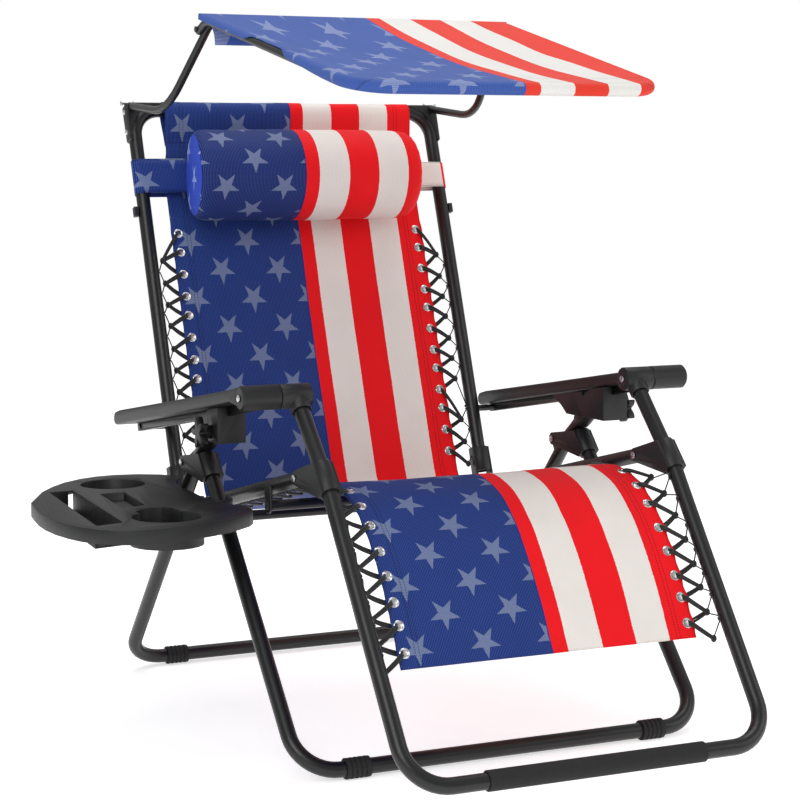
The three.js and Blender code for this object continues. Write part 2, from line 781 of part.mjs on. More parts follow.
// The seat crossbar hangs from a hook plate outside each rail.
const seatHooks = sides.map(({ sign }) => {
  const rail = seatSpot((seatCrossbarY - seatFrontY) / seatStep.y, 0);
  const grip = [
    new THREE.Vector2(rail.y - hookRadius, rail.z),
    new THREE.Vector2(rail.y + hookRadius, rail.z),
  ];
  const outline = hull([...grip, ...roundPoints(hookRadius, boltSides, seatCrossbarY, seatCrossbarZ)]);
  return joined([
    sidePlate(outline, sign * hookInnerX, sign * (hookInnerX + hookThickness)),
    crossRod(
      rivetHeadRadius,
      sign * (hookInnerX + hookThickness),
      sign * (hookInnerX + hookThickness + rivetHeadHeight),
      seatCrossbarY,
      seatCrossbarZ,
    ),
  ]);
});
const seatCrossbar = joined([
  crossRod(
    crossbarRadius,
    -hookInnerX - weldDepth,
    hookInnerX + weldDepth,
    seatCrossbarY,
    seatCrossbarZ,
    tubeSides,
  ),
  ...seatHooks,
]);
addNode(seat, "seat_crossbar", seatCrossbar, black);

// Backrest frame and its forks

const backCorners = [
  at(-frameHalfWidth, backSpot(backStart)),
  new THREE.Vector3(-frameHalfWidth, backTopY, backTopZ),
  new THREE.Vector3(frameHalfWidth, backTopY, backTopZ),
  at(frameHalfWidth, backSpot(backStart)),
];
const backPath = bentLine(backCorners, [backBendRadius, backBendRadius]);
const armPivot = armSpot(armPivotAlong, armPivotDrop);
// A welded stud on each side, beside which the armrest rail hangs, where the linkage is opened.
const armStuds = sides.map(({ sign }) =>
  crossRod(armBossRadius, sign * frameHalfWidth, sign * (padInnerX - fitGap), armPivot.y, armPivot.z),
);
const backBore = sweep(longer(backPath, cutExtra), tubeBoreRadius, boreSides);
const backFrame = cut(joined([sweep(backPath, tubeRadius, tubeSides), ...armStuds]), [backBore]);
addNode(backrest, "backrest_frame", backFrame, black);

for (const { tag, sign } of sides) {
  const low = backSpot(backForkStart);
  const high = backSpot(backForkEnd);
  const fork = forkOn(sign, frameHalfWidth, high, low, seatRearY, seatRearZ);
  addNode(backrest, `backrest_fork_${tag}`, fork, blackPlastic);
  const pin = forkRivet(sign, frameHalfWidth, seatRearY, seatRearZ);
  addNode(backrest, `backrest_rivet_${tag}`, pin, silver);

  const bracketOutline = hull([
    ...roundPoints(bracketTopRadius, tubeSides, canopyPivotY, canopyPivotZ),
    ...roundPoints(bracketFootRadius, tubeSides, bracketFootY, bracketFootZ),
  ]);
  const bracketOuterX = bracketInnerX + bracketThickness;
  const bracket = cut(sidePlate(bracketOutline, sign * bracketInnerX, sign * bracketOuterX), [
    crossRod(
      canopyPinHoleRadius,
      sign * (bracketInnerX - cutExtra),
      sign * (bracketOuterX + cutExtra),
      canopyPivotY,
      canopyPivotZ,
    ),
  ]);
  addNode(backrest, `corner_bracket_${tag}`, bracket, blackPlastic);
  const stopLow = backSpot(strapStopLow);
  const stopHigh = backSpot(strapStopHigh);
  const stop = hull([
    spotPoint(backSpot(strapStopLow, armBossRadius)),
    spotPoint(backSpot(strapStopLow, -armBossRadius)),
    spotPoint(backSpot(strapStopHigh, armBossRadius)),
    spotPoint(backSpot(strapStopHigh, -armBossRadius)),
    spotPoint(stopLow),
    spotPoint(stopHigh),
  ]);
  const stopSolid = sidePlate(stop, sign * strapStopInnerX, sign * strapStopOuterX);
  addNode(backrest, `strap_stop_${tag}`, stopSolid, blackPlastic);
}

// Footrest frame, sleeve and collars

const footTop = spot(knuckleY, knuckleZ, footUpper, footTubeEnd);
const footCorners = [
  at(-frameHalfWidth, footTop),
  new THREE.Vector3(-frameHalfWidth, footKneeY, footKneeZ),
  new THREE.Vector3(-frameHalfWidth, footBarY, footBarZ),
  new THREE.Vector3(frameHalfWidth, footBarY, footBarZ),
  new THREE.Vector3(frameHalfWidth, footKneeY, footKneeZ),
  at(frameHalfWidth, footTop),
];
const footBends = [footKneeBendRadius, floorBendRadius, floorBendRadius, footKneeBendRadius];
const footPath = bentLine(footCorners, footBends);
const footBore = sweep(longer(footPath, cutExtra), tubeBoreRadius, boreSides);
addNode(footrest, "footrest_frame", cut(sweep(footPath, tubeRadius, tubeSides), [footBore]), black);

const footSleeve = cut(
  crossRod(footSleeveRadius, -footSleeveHalfLength, footSleeveHalfLength, footBarY, footBarZ, tubeSides),
  [
    crossRod(
      sleeveBoreRadius,
      -footSleeveHalfLength - cutExtra,
      footSleeveHalfLength + cutExtra,
      footBarY,
      footBarZ,
      tubeSides,
    ),
  ],
);
addNode(footrest, "footrest_sleeve", footSleeve, rubber);

const footClearance = sweep(footPath, sleeveBoreRadius, tubeSides);
for (const { tag, sign } of sides) {
  const low = spot(footKneeY, footKneeZ, footUpper, -fitGap);
  const high = spot(footKneeY, footKneeZ, footUpper, -footCollarLength);
  const collar = forkOn(sign, frameHalfWidth, high, low, seatFrontY, seatFrontZ);
  addNode(footrest, `footrest_collar_${tag}`, cut(collar, [footClearance]), blackPlastic);
  const pin = forkRivet(sign, frameHalfWidth, seatFrontY, seatFrontZ);
  addNode(footrest, `footrest_rivet_${tag}`, pin, silver);

  const neckEnd = spot(knuckleY, knuckleZ, footUpper, knuckleNeckLength);
  const knuckle = cut(
    joined([
      crossRod(knuckleRadius, sign * knuckleInnerX, sign * knuckleSplitX, knuckleY, knuckleZ, tubeSides),
      straight(
        new THREE.Vector3(sign * frameHalfWidth, knuckleY, knuckleZ),
        at(sign * frameHalfWidth, neckEnd),
        knuckleNeckRadius,
      ),
    ]),
    [
      straight(
        at(sign * frameHalfWidth, spot(knuckleY, knuckleZ, footUpper, footTubeEnd - fitGap)),
        at(sign * frameHalfWidth, spot(knuckleY, knuckleZ, footUpper, knuckleNeckLength + cutExtra)),
        sleeveBoreRadius,
      ),
      crossRod(
        boltHoleRadius,
        sign * (knuckleInnerX - cutExtra),
        sign * (knuckleSplitX + cutExtra),
        knuckleY,
        knuckleZ,
      ),
    ],
  );
  addNode(footrest, `knuckle_${tag}`, knuckle, blackPlastic);
  const pinSolid = rivet(sign * knuckleInnerX, sign * padOuterX, knuckleY, knuckleZ);
  addNode(armrests, `knuckle_pin_${tag}`, pinSolid, silver);
}

// Armrests: a moulded pad on a steel rail

for (const { tag, sign } of sides) {
  const padOutline = padProfile.map(([along, off]) => spotPoint(armSpot(along, off)));
  const padHole = crossRod(
    boltHoleRadius,
    sign * (knuckleSplitX - cutExtra),
    sign * (padOuterX + cutExtra),
    knuckleY,
    knuckleZ,
  );
  const padFrontX = knuckleSplitX + fitGap;
  const pad = cut(
    joined([
      sidePlate(padOutline, sign * padInnerX, sign * padOuterX),
      crossRod(knuckleRadius, sign * padFrontX, sign * padOuterX, knuckleY, knuckleZ, tubeSides),
    ]),
    [padHole],
  );
  addNode(armrests, `armrest_pad_${tag}`, pad, blackPlastic);
  const railOutline = [
    armSpot(armRailStart, armRailBottom),
    armSpot(armRailEnd, armRailBottom),
    armSpot(armRailEnd, armRailTop),
    armSpot(armRailStart + armRailTop - armRailBottom, armRailTop),
  ];
  const rail = joined([
    sidePlate(railOutline.map(spotPoint), sign * armRailInnerX, sign * armRailOuterX),
    crossRod(armBossRadius, sign * padInnerX, sign * armRailOuterX, armPivot.y, armPivot.z),
    crossRod(
      armBossRadius,
      sign * armRailOuterX,
      sign * (armRailOuterX + rivetHeadHeight),
      armPivot.y,
      armPivot.z,
    ),
  ]);
  addNode(armrests, `armrest_rail_${tag}`, rail, black);
}

// Canopy: an arm hoop on the brackets, a front hoop hinged to its top corners, and the cover

const pivotSpot = new THREE.Vector3(-canopyArmHalfWidth, canopyPivotY, canopyPivotZ);
const armBend = new THREE.Vector3(-canopyArmHalfWidth, canopyArmBendY, canopyArmBendZ);
const armTail = pivotSpot.clone().sub(armBend).normalize().multiplyScalar(canopyArmEnd).add(pivotSpot);
const rearCorner = new THREE.Vector3(-canopyRearHalfWidth, canopyRearY, canopyRearZ);
const mirrored = (point) => new THREE.Vector3(-point.x, point.y, point.z);
const armHoop = bentLine(
  [armTail, armBend, rearCorner, mirrored(rearCorner), mirrored(armBend), mirrored(armTail)],
  [canopyArmBendRadius, canopyCornerRadius, canopyCornerRadius, canopyArmBendRadius],
);
const pivotHoles = sides.map(({ sign }) =>
  crossRod(
    canopyPinHoleRadius,
    sign * (canopyArmHalfWidth - tubeRadius),
    sign * (canopyArmHalfWidth + tubeRadius),
    canopyPivotY,
    canopyPivotZ,
  ),
);

const sideStart = new THREE.Vector3(-canopySideHalfWidth, canopyHingeY, canopyHingeZ);
const sideBend = new THREE.Vector3(-canopySideHalfWidth, canopySideBendY, canopySideBendZ);
const sideTail = sideStart.clone().sub(sideBend).normalize().multiplyScalar(canopyArmEnd).add(sideStart);
const frontCorner = new THREE.Vector3(-canopySideHalfWidth, canopyFrontY, canopyFrontZ);
const frontHoop = bentLine(
  [sideTail, sideBend, frontCorner, mirrored(frontCorner), mirrored(sideBend), mirrored(sideTail)],
  [canopySideBendRadius, canopyFrontBendRadius, canopyFrontBendRadius, canopySideBendRadius],
);
const hoopPins = sides.map(({ sign }) =>
  joined([
    crossRod(
      canopyPinRadius,
      sign * (canopyRearHalfWidth - canopyTubeRadius),
      sign * (canopySideHalfWidth + canopyTubeRadius),
      canopyHingeY,
      canopyHingeZ,
    ),
    crossRod(
      canopyHeadRadius,
      sign * (canopySideHalfWidth + canopyTubeRadius - fitGap),
      sign * (canopySideHalfWidth + canopyTubeRadius + rivetHeadHeight),
      canopyHingeY,
      canopyHingeZ,
    ),
  ]),
);
const canopyFrame = cut(
  joined([sweep(armHoop, canopyTubeRadius, boreSides), sweep(frontHoop, canopyTubeRadius, boreSides), ...hoopPins]),
  pivotHoles,
);
addNode(canopy, "canopy_frame", canopyFrame, black);

for (const { tag, sign } of sides) {
  const armPin = rivet(
    sign * (canopyArmHalfWidth - canopyTubeRadius),
    sign * (bracketInnerX + bracketThickness),
    canopyPivotY,
    canopyPivotZ,
    canopyPinRadius,
    canopyHeadRadius,
  );
  addNode(backrest, `canopy_pin_${tag}`, armPin, silver);
}

// A ribbon in the side view: its middle line given as points, its thickness to both sides.
function ribbon(line, thickness) {
  const count = line.length;
  const normals = line.map((point, i) => {
    const before = line[Math.max(i - 1, 0)];
    const after = line[Math.min(i + 1, count - 1)];
    const into = point.clone().sub(before).normalize();
    const out = after.clone().sub(point).normalize();
    const along = into.clone().add(out).normalize();
    const widen = 1 / Math.max(along.dot(out.lengthSq() ? out : into), smallestMiterShare);
    return new THREE.Vector2(-along.y, along.x).multiplyScalar((widen * thickness) / 2);
  });
  const over = line.map((point, i) => point.clone().add(normals[i]));
  const under = line.map((point, i) => point.clone().sub(normals[i]));
  return [...over, ...under.reverse()];
}

// The cover runs from a sleeve round the rear bar, over the side tubes, to a hem over the front bar.
const coverStep = stepBetween(canopyRearY, canopyRearZ, canopyFrontY, canopyFrontZ);
const coverOff = -(coverLift + coverThickness / 2);
const coverSpot = (along, off) => spotPoint(spot(canopyRearY, canopyRearZ, coverStep, along, off));
const coverLine = [coverSpot(0, coverOff), coverSpot(coverStep.length, coverOff)];
for (const turnShare of hemTurnShares) {
  const angle = turnShare * Math.PI;
  const centre = coverSpot(coverStep.length, 0);
  const outward = new THREE.Vector2(coverStep.y, coverStep.z).multiplyScalar(Math.sin(angle));
  const upward = new THREE.Vector2(coverStep.z, -coverStep.y).multiplyScalar(Math.cos(angle));
  coverLine.push(outward.add(upward).multiplyScalar(-coverOff).add(centre));
}
const hemTop = coverLine.at(-1);
coverLine.push(new THREE.Vector2(hemTop.x, hemTop.y - coverHemDrop));
const rearSleeveRadius = coverLift + coverThickness;
const cover = cut(
  joined([
    sidePlate(ribbon(coverLine, coverThickness), -coverHalfWidth, coverHalfWidth),
    crossRod(rearSleeveRadius, -coverSleeveHalfWidth, coverSleeveHalfWidth, canopyRearY, canopyRearZ, tubeSides),
  ]),
  [crossRod(coverLift, -coverHalfWidth, coverHalfWidth, canopyRearY, canopyRearZ, tubeSides)],
);
addNode(canopy, "canopy_cover", cover, blueCloth);

// Sling lengths

function eyeletHole(x, place, normal) {
  const reach = slingThickness + cutExtra;
  const from = new THREE.Vector3(x, place.y - normal.y * reach, place.z - normal.z * reach);
  const to = new THREE.Vector3(x, place.y + normal.y * reach, place.z + normal.z * reach);
  return straight(from, to, eyeletRadius, eyeletSides);
}

function sling(line, halfWidth, eyelets, eyeletX, sleeve) {
  let sheet = sidePlate(ribbon(line, slingThickness), -halfWidth, halfWidth);
  if (sleeve) sheet = cut(joined([sheet, sleeve.outer]), [sleeve.bore]);
  const holes = sides.flatMap(({ sign }) =>
    eyelets.map(({ place, normal }) => eyeletHole(sign * eyeletX, place, normal)),
  );
  return cut(sheet, holes);
}

const backNormal = { y: -backStep.z, z: backStep.y };
const seatNormal = { y: -seatStep.z, z: seatStep.y };
const backEyelets = [];
for (let i = 0; i < backEyeletCount; i++) {
  const place = backSpot(backEyeletFirst - backEyeletStep * i, -backSheetDepth);
  backEyelets.push({ place, normal: backNormal });
}
const seatEyelets = [];
for (let i = 0; i < seatEyeletCount; i++) {
  seatEyelets.push({ place: seatSpot(seatEyeletFirst + seatEyeletStep * i, -seatSheetDepth), normal: seatNormal });
}
const legSheet = pairs(legSheetLine);
const legEyeletPlaces = legEyeletStations.map((station) => {
  const point = legSheet[station];
  const along = legSheet[station + 1].clone().sub(legSheet[station - 1]).normalize();
  return { place: { y: point.x, z: point.y }, normal: { y: along.y, z: -along.x } };
});

const backSheetLine = [
  spotPoint(backSpot(backSheetLow, -backSheetDepth)),
  spotPoint(backSpot(backStep.length, -backSheetDepth)),
];
const topSleeve = {
  outer: crossRod(topSleeveRadius, -topSleeveHalfWidth, topSleeveHalfWidth, backTopY, backTopZ, tubeSides),
  bore: crossRod(topSleeveBore, -slingHalfWidth - cutExtra, slingHalfWidth + cutExtra, backTopY, backTopZ, tubeSides),
};
const backSling = sling(backSheetLine, topSleeveHalfWidth, [], backEyeletX, topSleeve);
const backLower = sling(
  [
    spotPoint(backSpot(backSheetLow, -backSheetDepth)),
    spotPoint(backSpot(backStep.length - 2 * backBendRadius, -backSheetDepth)),
  ],
  slingHalfWidth,
  [],
  backEyeletX,
);
const backHolesThrough = sides.flatMap(({ sign }) =>
  backEyelets.map(({ place, normal }) => eyeletHole(sign * backEyeletX, place, normal)),
);
addNode(backrest, "sling_back", cut(joined([backSling, backLower]), backHolesThrough), redCloth);

const seatSheetLine = [
  spotPoint(seatSpot(seatSheetStart, -seatSheetDepth)),
  spotPoint(seatSpot(seatSheetEnd, -seatSheetDepth)),
];
addNode(seat, "sling_seat", sling(seatSheetLine, slingHalfWidth, seatEyelets, seatEyeletX), blueCloth);
addNode(footrest, "sling_leg", sling(legSheet, slingHalfWidth, legEyeletPlaces, legEyeletX), redCloth);

// Elastic lacing: up through an eyelet, over and round the tube, and under the sheet to the next eyelet

function lacing(sign, eyelets, eyeletX, wraps) {
  const points = [];
  const put = (x, place, normal, lift, along = { y: 0, z: 0 }, shift = 0) => {
    const y = place.y + normal.y * lift + along.y * shift;
    const z = place.z + normal.z * lift + along.z * shift;
    points.push(new THREE.Vector3(sign * x, y, z));
  };
  const edgeX = slingHalfWidth + bungeeEdgeReach;
  eyelets.forEach(({ place, normal }, i) => {
    const wrap = wraps[i];
    const previous = wraps[i - 1];
    if (previous) put(edgeX, place, normal, -bungeeLift, previous.along, -bungeeSpread);
    put(eyeletX, place, normal, -bungeeLift);
    put(eyeletX, place, normal, bungeeLift);
    if (!wrap) return;
    put(edgeX, place, normal, bungeeLift, wrap.along, bungeeSpread);
    for (let k = 0; k < wrapPoints; k++) {
      const round = 1 - k / ((wrapPoints - 1) / 2);
      const x = frameHalfWidth + bungeeWrapRadius * Math.cos(wrapTurn * round);
      const lift = bungeeWrapRadius * Math.sin(wrapTurn * round);
      put(x, wrap.place, wrap.normal, lift, wrap.along, -bungeeSpread * round);
    }
  });
  return sweep(throughPoints(points), bungeeRadius, cordSides);
}

const backWraps = backEyelets.slice(0, -1).map((eyelet, i) => ({
  place: backSpot(backEyeletFirst - backEyeletStep * i - backEyeletStep / 2, 0),
  normal: backNormal,
  along: { y: -backStep.y, z: -backStep.z },
}));
const seatWraps = seatEyelets.slice(0, -1).map((eyelet, i) => ({
  place: seatSpot(seatEyeletFirst + seatEyeletStep * i + seatEyeletStep / 2, 0),
  normal: seatNormal,
  along: { y: seatStep.y, z: seatStep.z },
}));
const legNormal = { y: footLower.z, z: -footLower.y };
const legWraps = legEyeletPlaces.slice(1, -1).map((eyelet, i) => ({
  place: spot(footKneeY, footKneeZ, footLower, legFirstWrap + legWrapStep * i, 0),
  normal: legNormal,
  along: { y: footLower.y, z: footLower.z },
}));
for (const { tag, sign } of sides) {
  addNode(backrest, `lacing_back_${tag}`, lacing(sign, backEyelets, backEyeletX, backWraps), bungee);
  addNode(seat, `lacing_seat_${tag}`, lacing(sign, seatEyelets, seatEyeletX, seatWraps), bungee);
  addNode(footrest, `lacing_leg_${tag}`, lacing(sign, legEyeletPlaces.slice(1), legEyeletX, legWraps), bungee);
}

// Head pillow on its strap

function strapLoop(lowAlong, highAlong, radius) {
  const band = [];
  for (const { sign } of sides) {
    for (let k = 0; k <= strapBendSteps; k++) {
      const angle = Math.PI * (k / strapBendSteps - 1 / 2);
      band.push(new THREE.Vector2(sign * (frameHalfWidth + radius * Math.cos(angle)), radius * Math.sin(angle)));
    }
  }
  const shape = new THREE.Shape(hull(band));
  const options = { depth: highAlong - lowAlong, bevelEnabled: false, steps: 1 };
  const geometry = new THREE.ExtrudeGeometry(shape, options);
  const low = backSpot(lowAlong);
  const basis = new THREE.Matrix4().makeBasis(
    new THREE.Vector3(1, 0, 0),
    new THREE.Vector3(0, backStep.z, -backStep.y),
    new THREE.Vector3(0, backStep.y, backStep.z),
  );
  geometry.applyMatrix4(basis);
  geometry.translate(0, low.y, low.z);
  return solidOf(geometry);
}

const strapInner = tubeRadius + strapSlack;
const strapOuter = strapInner + strapThickness;
const strap = cut(strapLoop(strapLow, strapHigh, strapOuter), [
  strapLoop(strapLow - cutExtra, strapHigh + cutExtra, strapInner),
]);
const strapTunnel = cut(strapLoop(strapLow - fitGap, strapHigh + fitGap, strapOuter + fitGap), [
  strapLoop(strapLow - cutExtra, strapHigh + cutExtra, strapInner - fitGap),
]);

function pillowSolid() {
  const end = pillowEndRadius;
  const flatRight = pillowRightX + pillowEndRound;
  const flatLeft = pillowLeftX - pillowEndRound;
  const lathe = new THREE.LatheGeometry(
    [
      new THREE.Vector2(0, pillowRightX),
      new THREE.Vector2(end, pillowRightX),
      new THREE.Vector2(pillowRadius, flatRight),
      new THREE.Vector2(pillowRadius, flatLeft),
      new THREE.Vector2(end, pillowLeftX),
      new THREE.Vector2(0, pillowLeftX),
    ],
    pillowSides,
  );
  lathe.rotateZ(-Math.PI / 2);
  const centre = backSpot(pillowAlong, pillowStandOff);
  lathe.translate(0, centre.y, centre.z);
  return solidOf(lathe);
}

const behindPillow = sidePlate(
  [
    spotPoint(backSpot(0, -backSheetDepth + slingThickness / 2 + fitGap)),
    spotPoint(backSpot(0, -pillowRadius)),
    spotPoint(backSpot(backStep.length, -pillowRadius)),
    spotPoint(backSpot(backStep.length, -backSheetDepth + slingThickness / 2 + fitGap)),
  ],
  -frameHalfWidth,
  frameHalfWidth,
);
addNode(backrest, "head_pillow", cut(pillowSolid(), [behindPillow, strapTunnel]), blueCloth);
addNode(backrest, "pillow_strap", strap, blueCloth);

// Side tray: a thin moulded shell with a deep rim, two cups, a slot and a shallow well

function inset(points, distance) {
  return points.map((point, i) => {
    const before = points[(i + points.length - 1) % points.length];
    const after = points[(i + 1) % points.length];
    const along = after.clone().sub(before).normalize();
    return new THREE.Vector2(point.x - along.y * distance, point.y + along.x * distance);
  });
}

function facingUp(points) {
  return THREE.ShapeUtils.area(points) < 0 ? [...points].reverse() : points;
}

// The tray's outlines are counted from the middle of the leg that carries it.
function besideLeg(list) {
  return pairs(list).map((point) => new THREE.Vector2(point.x - legHalfWidth, point.y));
}

const trayPoints = facingUp(besideLeg(trayOutline));
const trayFloorZ = trayTopZ - traySkin;
const trayLowZ = trayTopZ - trayRimHeight;
const bossLowZ = frontCrossbarZ + crossbarRadius + bossSwingGap;
const shell = cut(levelPlate(trayPoints, trayLowZ, trayTopZ), [
  levelPlate(inset(trayPoints, trayRim), trayLowZ - cutExtra, trayFloorZ),
]);
const slotPoints = facingUp(besideLeg(traySlot));
const windowPoints = facingUp(besideLeg(trayWindow));
const notchPoints = facingUp(besideLeg(phoneNotch));
const frontCup = roundPoints(cupRadius, cupSides, frontCupX, frontCupY);
const rearCup = roundPoints(cupRadius, cupSides, rearCupX, rearCupY);
const trayLegAlong = (trayTopZ - floorAxisHeight) / frontStep.z;
const trayLeg = spot(frontFloorY, floorAxisHeight, frontStep, trayLegAlong);
const bossPoints = roundPoints(trayBossRadius, tubeSides, -legHalfWidth, trayLeg.y);
const trayOuter = joined([
  shell,
  levelPlate(inset(frontCup, -cupWall), cupBottomZ, trayTopZ),
  levelPlate(inset(rearCup, -cupWall), cupBottomZ, trayTopZ),
  levelPlate(inset(notchPoints, -cupWall), cupBottomZ, trayTopZ),
  levelPlate(inset(slotPoints, -cupWall), slotPocketZ, trayTopZ),
  levelPlate(inset(windowPoints, -cupWall), windowPocketZ, trayTopZ),
  levelPlate(bossPoints, bossLowZ, trayTopZ),
]);
const rearClearance = sweep(rearPath, sleeveBoreRadius, tubeSides);
const tray = cut(trayOuter, [
  levelPlate(frontCup, cupBottomZ + cupWall, trayTopZ + cutExtra),
  levelPlate(rearCup, cupBottomZ + cupWall, trayTopZ + cutExtra),
  levelPlate(notchPoints, cupBottomZ + cupWall, trayTopZ + cutExtra),
  levelPlate(slotPoints, slotPocketZ + cupWall, trayTopZ + cutExtra),
  levelPlate(windowPoints, windowPocketZ + cupWall, trayTopZ + cutExtra),
  frontClearance,
  rearClearance,
  sweep(frontPath, swingBoreRadius, tubeSides),
]);
addNode(frontLegs, "side_tray", tray, blackPlastic);

const clampAlong = (clampTop - floorAxisHeight) / frontStep.z;
const clampHigh = spot(frontFloorY, floorAxisHeight, frontStep, clampAlong);
const clampLow = spot(frontFloorY, floorAxisHeight, frontStep, clampAlong - clampLength);
const clampMiddle = spot(frontFloorY, floorAxisHeight, frontStep, clampAlong - clampLength / 2);
const clampBody = joined([
  straight(at(-legHalfWidth, clampLow), at(-legHalfWidth, clampHigh), clampRadius),
  sidePlate(
    [
      new THREE.Vector2(clampMiddle.y, clampMiddle.z - clampLugHalfThickness),
      new THREE.Vector2(clampMiddle.y - clampLugReach, clampMiddle.z - clampLugHalfThickness),
      new THREE.Vector2(clampMiddle.y - clampLugReach, clampMiddle.z + clampLugHalfThickness),
      new THREE.Vector2(clampMiddle.y, clampMiddle.z + clampLugHalfThickness),
    ],
    -legHalfWidth - clampLugHalfThickness,
    -legHalfWidth + clampLugHalfThickness,
  ),
]);
const clampCeiling = levelPlate(
  roundPoints(2 * cupRadius, boltSides, -legHalfWidth, clampMiddle.y),
  trayLowZ - fitGap,
  trayTopZ,
);
addNode(frontLegs, "tray_clamp", cut(clampBody, [frontClearance, clampCeiling]), blackPlastic);

// The origin sits under the middle of the whole object.
const box = new THREE.Box3().setFromObject(root, true);
const middle = box.getCenter(new THREE.Vector3());
root.position.set(-middle.x, -middle.y, -box.min.z);

export default root;
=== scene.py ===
# %% [markdown]
# # Dressing a reclining sun lounger
# The chair is two bent tube frames that cross, a laced sling of printed textilene,
# a head pillow, a canopy and a clip-on tray. The steel skeleton comes ready from the
# CAD file with its joints, so this lesson only makes what the eye sees, and hangs most
# pieces on the part of the skeleton that carries it. The sling's leg and back lengths
# span two parts and are not hung on either.

# %% Load the imported frame
import math

import bmesh
import bpy
from mathutils import Matrix, Vector


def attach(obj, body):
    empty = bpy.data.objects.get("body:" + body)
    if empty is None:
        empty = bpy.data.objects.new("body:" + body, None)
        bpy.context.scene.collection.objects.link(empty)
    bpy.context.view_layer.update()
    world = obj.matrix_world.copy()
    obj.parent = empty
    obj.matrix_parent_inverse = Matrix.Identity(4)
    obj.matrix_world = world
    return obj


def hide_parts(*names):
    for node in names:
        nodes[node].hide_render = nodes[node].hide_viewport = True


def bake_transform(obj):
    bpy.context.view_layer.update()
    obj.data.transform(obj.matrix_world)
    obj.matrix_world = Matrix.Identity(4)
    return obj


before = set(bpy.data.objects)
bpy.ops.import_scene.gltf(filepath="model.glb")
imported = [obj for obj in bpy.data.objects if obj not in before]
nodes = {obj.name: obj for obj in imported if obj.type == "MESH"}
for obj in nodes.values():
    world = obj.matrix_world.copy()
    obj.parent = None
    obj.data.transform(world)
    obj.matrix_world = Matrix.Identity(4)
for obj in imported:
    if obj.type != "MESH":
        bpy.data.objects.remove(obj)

scene = bpy.context.scene
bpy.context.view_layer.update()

# %% [markdown]
# The picture was taken from the sitter's right front with a long lens, low enough that
# the tray shows as a thin slice. A long lens keeps parallel tubes nearly parallel, so
# the camera stands well back and its focal length is long.

# %% Camera
camera_data = bpy.data.cameras.new("studio_camera")
camera_data.lens = 97.8
camera_data.sensor_width = 36
camera_data.clip_start = 0.1
camera_data.clip_end = 60
camera = bpy.data.objects.new("studio_camera", camera_data)
camera.location = (-1.4402, -3.2722, 0.949)
camera.rotation_euler = (math.radians(83.46), 0, math.radians(-25.09))
scene.collection.objects.link(camera)
scene.camera = camera

# %% [markdown]
# The chair was drawn in millimetres about its own middle plane and the line where its
# legs cross. The tray sticks out at one side, so the frame's origin lies elsewhere, and
# one function takes a chair millimetre to its place.

# %% Places on the chair
MIDDLE, AXLE = 128.5, 88.77


def chair(x, y, z):
    return Vector((x + MIDDLE, y + AXLE, z)) / 1000


def smooth_share(value, start, end):
    """0 below start, 1 above end, and an S curve between."""
    t = min(max((value - start) / (end - start), 0), 1)
    return t * t * (3 - 2 * t)


def step_of(start, end):
    length = math.hypot(end[0] - start[0], end[1] - start[1])
    return (end[0] - start[0]) / length, (end[1] - start[1]) / length, length


def beside(start, step, distance, off=0.0):
    """A side-view place (y, z), so far along a line and so far off to its left."""
    return (start[0] + step[0] * distance - step[1] * off,
            start[1] + step[1] * distance + step[0] * off)


SEAT_FRONT = (-311, 451)
SEAT_REAR = (255.7, 313.9)
BACK_TOP = (509.5, 1023)
KNUCKLE = (-279.3, 574)
FOOT_KNEE = (-411, 439)
FOOT_BAR = (-690, 59)
seat_step = step_of(SEAT_FRONT, SEAT_REAR)
back_step = step_of(SEAT_REAR, BACK_TOP)
back_normal = Vector((0, -back_step[1], back_step[0]))
foot_upper = step_of(KNUCKLE, FOOT_KNEE)
foot_lower = step_of(FOOT_KNEE, FOOT_BAR)
print(f"seat rail {seat_step[2]:.0f} mm, backrest tube {back_step[2]:.0f} mm")

# %% [markdown]
# Every colour below is an sRGB hex value, as a paint chart gives it. The renderer counts
# in linear light, so one function converts them all.

# %% Colour and node helpers


def linear(hex_colour):
    channels = [int(hex_colour[i:i + 2], 16) / 255 for i in (1, 3, 5)]
    return tuple(c / 12.92 if c <= 0.04045 else ((c + 0.055) / 1.055) ** 2.4 for c in channels) + (1.0,)


def feed(node, inputs):
    """Fills inputs, by name or in order, with a value, a socket or a node's first output."""
    for socket, source in inputs.items() if isinstance(inputs, dict) else enumerate(inputs):
        if isinstance(source, bpy.types.Node):
            source = next(output for output in source.outputs if output.enabled)
        if isinstance(source, bpy.types.NodeSocket):
            node.id_data.links.new(source, node.inputs[socket])
        else:
            node.inputs[socket].default_value = source


def add_node(material, kind, inputs=(), **settings):
    """Adds a node, sets its properties and feeds its inputs."""
    made = material.node_tree.nodes.new(kind)
    for name, value in settings.items():
        setattr(made, name, value)
    feed(made, inputs)
    return made


def new_material(name, **values):
    material = bpy.data.materials.new(name)
    material.use_nodes = True
    shader = material.node_tree.nodes["Principled BSDF"]
    feed(shader, {socket.replace("_", " "): value for socket, value in values.items()})
    return material, shader


# %% [markdown]
# The tubes are mild steel with a black semi-gloss powder coat. Powder melts into a skin
# with a faint orange peel, so the shine is broad with slightly wavy edges. Metallic stays
# at zero, since the coat is a plastic, and a fine noise tilts the surface.

# %% Powder-coated steel


